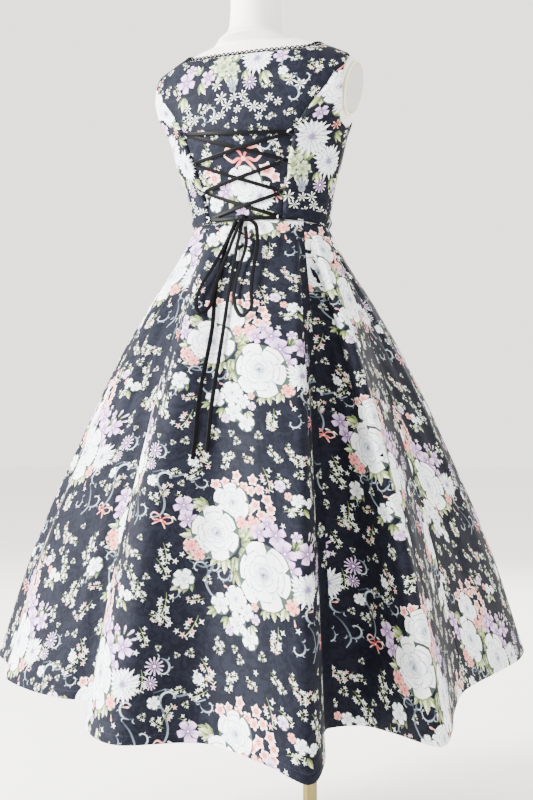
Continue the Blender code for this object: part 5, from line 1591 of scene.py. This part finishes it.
# lacing: bar, crossings, runs to the knot, loops and the knot itself
# heights of the loops, left and right
loopPairs = ((1.2715, 1.2585), (1.22, 1.2145), (1.173, 1.1645), (1.125, 1.122))
lacing = {"end": 0.0032, "loopReach": 0.01, "loopHalf": 0.005, "loopLift": 0.0057, "loopRoot": 0.004,
          "loopThick": 0.0012, "loopWide": 0.0023, "loopSteps": 25, "loopRing": 10,
          "loopWhite": (0.9, 0.91, 0.92), "drawn": 0.35, "drawnReach": 0.05,
          "above": 0.004, "knotZ": 1.1213, "knot": (0.022, 0.008, 0.012), "knotClear": 0.0006,
          "knotRows": 20, "knotColumns": 28, "knotSquare": 0.68, "knotFull": 0.97}
knotGrooves = (
    # depth, place across, lean and width
    (0.16, 0.0, -0.28, 0.1), (0.12, 0.62, 0.2, 0.09), (0.12, -0.74, 0.2, 0.09),
)


def anchor(z, right, back=0.0):
    heights = bodiceSurface(*seamLine.T)[:, 2]
    girth = float(np.interp(z, heights, seamLine[:, 0])) + back
    return (2 * quarter - girth if right else girth), float(np.interp(z, heights, seamLine[:, 1]))


def tautRun(name, start, end, layer):
    start, end = np.array(start), np.array(end)
    count = int(np.linalg.norm(end - start) / ribbon["step"]) + 3
    share = np.linspace(0, 1, count)
    line = start + (end - start) * share[:, None]
    line[:, 1] -= ribbon["sag"] * (4 * share * (1 - share)) * min(1.0, abs(end[0] - start[0]) / 0.15)
    height = ribbon["clear"] + layer * ribbon["layer"] + ribbon["thick"] / 2
    middle = bodicePoint(*line.T, height)
    normals = unit(bodicePoint(*line.T, height + lacing["above"]) - middle)
    width, thick = ribbon["width"] * 0.94, ribbon["thick"] * ribbon["pressed"]
    made = ribbonMesh(name, middle, normals, width, thick, 0.0001)
    # drawn together where it passes through a loop
    fromEnds = np.stack([share, 1 - share])
    narrow = 1 - lacing["drawn"] * np.exp(-(fromEnds / lacing["drawnReach"]) ** 2).sum(0)
    for k, vertex in enumerate(made.data.vertices):
        row = k // len(ribbonProfile)
        vertex.co = Vector(middle[row]) + (vertex.co - Vector(middle[row])) * float(narrow[row])
    made.data.update()
    placed(made)


def makeRuns():
    left = [anchor(row[0], False, lacing["end"]) for row in loopPairs]
    right = [anchor(row[1], True, lacing["end"]) for row in loopPairs]
    tautRun("lacingBarTop", left[0], right[0], 2)
    for k in range(3):
        tautRun(f"lacingCross{k + 1}FallingRight", left[k], right[k + 1], 0)
        tautRun(f"lacingCross{k + 1}FallingLeft", left[k + 1], right[k], 1)
    rise = anchor(lacing["knotZ"], False)[1]
    reach = lacing["knot"][0] / 2 + dress["seam"] + 0.0006
    tautRun("lacingBarLowLeft", left[-1], (quarter - reach, rise), 2)
    tautRun("lacingBarLowRight", right[-1], (quarter + reach, rise), 2)


def makeLoop(name, z, right, shadeStart, shadeEnd):
    # a small rolled tube of the dress's own cloth, white where a flower falls on it
    side = -1 if right else 1
    girth, rise = anchor(z, right)
    rows, ring = lacing["loopSteps"], lacing["loopRing"]
    t = np.linspace(-math.pi / 2, math.pi / 2, rows)
    reach = (lacing["loopReach"] + lacing["loopRoot"]) * np.cos(t) - lacing["loopRoot"]
    path = np.stack([girth + side * reach, rise + lacing["loopHalf"] * np.sin(t)], 1)
    middle = bodicePoint(*path.T, lacing["loopLift"] + lacing["loopThick"] / 2)
    normals = unit(bodicePoint(*path.T, lacing["loopLift"] + lacing["above"]) - middle)
    across = unit(np.cross(unit(np.gradient(middle, axis=0)), normals))
    points = ringsAlong(middle, across, normals, lacing["loopWide"] / 2, lacing["loopThick"] / 2, ring)
    faces = tubeFaces(rows, ring)
    made = newObject(name, points, faces, cotton)
    row, turn = np.divmod(np.arange(rows * ring), ring)
    setFlat(made.data, np.stack([0.001 * np.cos(2 * math.pi * turn / ring), 0.0011 * row], 1))
    shares = np.array([v // ring / (rows - 1) for face in faces for v in face])
    white = (shares >= shadeStart) & (shares <= shadeEnd)
    tones = np.where(white[:, None], linear(lacing["loopWhite"]), linear(printedCloth["ground"]))
    setPrint(made.data, np.c_[tones, np.ones(len(tones))], white)
    placed(made)


def makeLoops():
    # where white of the print shows along each loop, and 2 where it doesn't
    white = {"1Left": (2, 2), "1Right": (0.45, 0.75), "2Left": (0.0, 0.2), "2Right": (0.85, 1.0),
             "3Left": (0.6, 0.85), "3Right": (2, 2), "4Left": (0.15, 0.85), "4Right": (0.35, 0.65)}
    for k, heights in enumerate(loopPairs):
        for word, z in zip(("Left", "Right"), heights):
            key = f"{k + 1}{word}"
            makeLoop("lacingLoop" + key, z, word == "Right", *white[key])


def makeKnot():
    # wound ribbon: a soft lump with two turns across it
    rise = anchor(lacing["knotZ"], False)[1]
    centre = bodicePoint(quarter, rise, lacing["knotClear"] + lacing["knot"][1] / 2)
    half = np.array(lacing["knot"]) / 2
    rows, columns = lacing["knotRows"], lacing["knotColumns"]
    points, spots = [], []
    for r in range(rows + 1):
        polar = math.pi * r / rows
        for c in range(columns):
            angle = 2 * math.pi * c / columns
            wide = math.sin(polar)
            raw = np.array([math.cos(polar), wide * math.cos(angle), wide * math.sin(angle)])
            full = np.sign(raw) * np.abs(raw) ** lacing["knotSquare"]
            spot = full * half * lacing["knotFull"]
            spot[1:] *= 1 - sum(deep * math.exp(-((full[0] + at + lean * full[2]) / width) ** 2)
                                for deep, at, lean, width in knotGrooves)
            points.append(centre + spot)
            spots.append((0.003 * c / columns, spot[0] * 1.5))
    made = newObject("lacingKnot", points, ringFaces(rows + 1, columns), satin)
    setFlat(made.data, spots)
    placed(made)


makeRuns()
makeLoops()
makeKnot()
print("lacing made")


# dress form: torso, arm plates with rims, and the stand
form = {"gap": 0.003, "ring": 72, "plateX": 0.174, "plateY": 0.024, "plateZ": 1.34,
        "tilt": math.radians(12), "plateLow": 1.288, "halfHeight": 0.04, "halfDepth": 0.033,
        "plateThick": 0.006, "rim": 0.0028, "rimRing": 12}
formHips = (
    # height, half width, back depth, front depth, centre
    (0.9, 0.118, 0.082, 0.084, 0.012), (0.906, 0.138, 0.096, 0.096, 0.012),
    (0.925, 0.148, 0.104, 0.101, 0.012), (0.97, 0.147, 0.102, 0.1, 0.012),
    (1.01, 0.137, 0.091, 0.096, 0.012), (1.05, 0.1245, 0.076, 0.092, 0.013),
)
formLevels = (1.085, 1.115, 1.15, 1.19, 1.225, 1.255, 1.276, 1.289, 1.304, 1.32)
shoulderLevels = (1.34, 1.358, 1.374, 1.387, 1.399, 1.41, 1.42, 1.43)
formNeck = (
    # height, half width, half depth, centre
    (1.438, 0.066, 0.06, 0.032), (1.447, 0.054, 0.054, 0.031), (1.458, 0.048, 0.05, 0.03),
    (1.48, 0.046, 0.048, 0.029), (1.52, 0.045, 0.047, 0.028), (1.538, 0.0435, 0.0455, 0.028),
    (1.545, 0.038, 0.04, 0.028),
)


def levelRing(z, section):
    x, y = sectionPoint(np.arange(form["ring"]) * 2 * math.pi / form["ring"], section)
    return np.stack([x, y, np.full(form["ring"], z)], 1)


def shoulderRing(z, inset):
    half, back, front, centre = bodySection(dress["chest"], inset)
    side = np.linspace(float(half), 0.0, 200)
    here = float(np.interp(z, ridgeHeight(side, inset), side))
    beta = np.arange(form["ring"]) * 2 * math.pi / form["ring"]
    x = here * np.cos(beta)
    depth = np.where(np.sin(beta) > 0, back, front) * np.sqrt(np.maximum(0, 1 - (x / half) ** 2))
    y = centre + np.sign(np.sin(beta)) * depth
    share = np.clip((z - dress["chest"]) / (ridgeHeight(x, inset) - dress["chest"]), 0, 1)
    y = dress["ridgeDepth"] + (y - dress["ridgeDepth"]) * np.sqrt(1 - share**2)
    return np.stack([x, y, np.full(form["ring"], z)], 1)


def makeCover():
    made, tree, shader = finishes("formCover", {"Roughness": 0.62, "Sheen Weight": 0.15})
    where = solidPlace(tree)
    tinted(tree, noise(tree, where, 9.0, 3.0), (0.9, 0.885, 0.855), (0.95, 0.94, 0.92), shader)
    bumped(tree, shader, noise(tree, where, 700.0, 2.0), 0.2, 0.0002)
    return made


def makeMetal(name, dark, pale, roughness, metallic):
    made, tree, shader = finishes(name, {"Metallic": metallic})
    where = solidPlace(tree)
    worn = noise(tree, where, 26.0, 5.0)
    tinted(tree, worn, dark, pale, shader)
    uneven = ranged(tree, worn, 0.3, 0.7, roughness - 0.06, roughness + 0.08)
    tree.links.new(uneven, shader.inputs["Roughness"])
    bumped(tree, shader, noise(tree, where, 600.0, 2.0), 0.08, 0.0002)
    return made


cover = makeCover()
rimMetal = makeMetal("paleRim", (0.86, 0.83, 0.7), (0.94, 0.92, 0.8), 0.34, 0.2)
# the plates' faces: a greyer cream than the rims, painted shade on the face
plateFace = makeMetal("plateFace", (0.74, 0.735, 0.7), (0.8, 0.795, 0.77), 0.55, 0.0)
brass = makeMetal("oliveBrass", (0.5, 0.45, 0.28), (0.62, 0.57, 0.38), 0.36, 0.75)


def makeTorso():
    inset = dress["wall"] + form["gap"]
    rings = [levelRing(row[0], row[1:]) for row in formHips]
    rings += [levelRing(z, bodySection(z, inset)) for z in formLevels]
    rings += [shoulderRing(z, inset) for z in shoulderLevels]
    rings += [levelRing(z, (half, depth, depth, centre)) for z, half, depth, centre in formNeck]
    rings = np.array(rings)
    keys = np.arange(len(rings))
    fine = np.linspace(0, keys[-1], 3 * len(rings) - 2)
    flat = rings.reshape(len(rings), -1)
    smooth = np.stack([smoothValue(keys, flat[:, k], fine) for k in range(flat.shape[1])], 1)
    points = smooth.reshape(-1, 3)
    tilt = math.tan(form["tilt"])
    reach = form["plateX"] + (points[:, 2] - form["plateZ"]) * tilt
    reach = np.where(points[:, 2] > form["plateLow"], reach, 1.0)
    points[:, 0] = np.clip(points[:, 0], -reach, reach)
    made = newObject("formTorso", points, tubeFaces(len(fine), form["ring"]), cover)
    made.data.set_sharp_from_angle(angle=math.radians(50))
    placed(made)


turns = 64  # points round a turned shape


def lathe(profile):
    # points and faces of a turned shape from (radius, height) pairs
    angles = 2 * math.pi * np.arange(turns) / turns
    points = [(radius * math.cos(a), radius * math.sin(a), height)
              for radius, height in profile for a in angles]
    return np.array(points), tubeFaces(len(profile), turns)


def makeArmPlates():
    for side, word in ((1, "Left"), (-1, "Right")):
        normal = Vector((side * math.cos(form["tilt"]), 0, -math.sin(form["tilt"])))
        seat = Vector((side * form["plateX"], form["plateY"], form["plateZ"]))
        turn = normal.to_track_quat("Z", "Y").to_matrix()
        centre = np.array(seat + normal * (dress["seam"] + form["plateThick"] / 2))
        half = form["plateThick"] / 2
        profile = [(0.05, -half), (0.96, -half), (1.0, -half + 0.0012), (1.0, half - 0.0012),
                   (0.97, half - 0.0003), (0.9, half), (0.55, half), (0.05, half)]
        plate, faces = lathe(profile)
        plate *= (form["halfDepth"], form["halfHeight"], 1)
        plate = plate @ np.array(turn).T + centre
        # the disc takes the greyer cream, painted shade on its face
        made = newObject(f"formArmPlate{word}", plate, faces, plateFace)
        made.data.set_sharp_from_angle(angle=math.radians(40))
        placed(made)
        rim, rimRing, clear = form["rim"], form["rimRing"], form["rim"] + dress["seam"]
        out, _ = lathe([(1.0, 0.0)])
        middle = out * (form["halfDepth"] + clear, form["halfHeight"] + clear, 0)
        points = ringsAlong(middle, out, np.tile((0.0, 0.0, 1.0), (turns, 1)), rim, rim, rimRing)
        faces = []
        for k in range(turns):
            here, ahead = k * rimRing, (k + 1) % turns * rimRing
            for j in range(rimRing):
                after = (j + 1) % rimRing
                faces.append((here + j, ahead + j, ahead + after, here + after))
        made = newObject(f"formArmRim{word}", points @ np.array(turn).T + centre, faces, rimMetal)
        placed(made)


stand = {"foot": (-0.0731, -0.0341), "pole": 0.0125, "collar": 0.023, "collarHeight": 0.03,
         "socket": 0.026, "socketHeight": 0.035, "base": 0.175, "baseThick": 0.012}


def turnedPart(name, radius, low, height, place, bevel):
    high, ease = low + height, bevel * 0.3
    profile = [(radius * 0.02, low), (radius - bevel, low), (radius - ease, low + ease),
               (radius, low + bevel), (radius, high - bevel), (radius - ease, high - ease),
               (radius - bevel, high), (radius * 0.02, high)]
    points, faces = lathe(profile)
    made = newObject(name, points + (*place, 0), faces, brass)
    made.data.set_sharp_from_angle(angle=math.radians(40))
    placed(made)


def makeStand():
    foot, seam = stand["foot"], dress["seam"]
    socketTall, collarTall = stand["socketHeight"], stand["collarHeight"]
    socketLow = stand["baseThick"] + seam
    poleLow = socketLow + socketTall + seam
    collarLow = formHips[0][0] - seam - collarTall
    turnedPart("standBase", stand["base"], 0.0, stand["baseThick"], (0, 0), 0.003)
    turnedPart("standSocket", stand["socket"], socketLow, socketTall, foot, 0.002)
    turnedPart("standPole", stand["pole"], poleLow, collarLow - seam - poleLow, foot, 0.0006)
    turnedPart("standCollar", stand["collar"], collarLow, collarTall, foot, 0.002)


makeTorso()
makeArmPlates()
makeStand()
print("form and stand made")


# plain pale floor and soft studio light
studio = {"floor": (0.975, 0.965, 0.95), "floorPale": (0.98475, 0.97465, 0.9595), "floorRadius": 14,
          "floorSink": -0.0005, "world": (0.975, 0.962, 0.945), "worldPower": 2.6}


def makeStudio():
    made, tree, shader = finishes("paleFloor", {"Roughness": 0.85})
    grain = addNode(tree, "ShaderNodeTexNoise", {}, {"Scale": 3.0, "Detail": 2.0})
    tinted(tree, grain.outputs["Fac"], studio["floor"], studio["floorPale"], shader)
    ring, faces = lathe([(studio["floorRadius"], studio["floorSink"])])
    floor = newObject("paleFloor", ring, faces[1:], made, smooth=False)
    world = bpy.data.worlds.new("studio")
    world.use_nodes = True
    sky = world.node_tree.nodes["Background"]
    sky.inputs[0].default_value = (*linear(studio["world"]), 1)
    sky.inputs[1].default_value = studio["worldPower"]
    bpy.context.scene.world = world
    lamps = (
        # name, place, aim, size, power
        ("keyLight", (2.9, 2.3, 2.2), (0.0, 0.1, 0.85), 1.3, 980.0),
        ("fillLight", (-3.2, 1.2, 1.8), (0.0, 0.0, 0.8), 2.2, 25.0),
        ("frontLight", (0.8, -3.4, 2.4), (0.0, 0.0, 0.9), 2.2, 190.0),
    )
    for name, place, aim, size, power in lamps:
        lamp = bpy.data.lights.new(name, "AREA")
        lamp.energy, lamp.size = power, size
        holder = bpy.data.objects.new(name, lamp)
        holder.location = place
        holder.rotation_euler = (Vector(aim) - Vector(place)).to_track_quat("-Z", "Y").to_euler()
        bpy.context.scene.collection.objects.link(holder)


makeStudio()
print("studio lit")
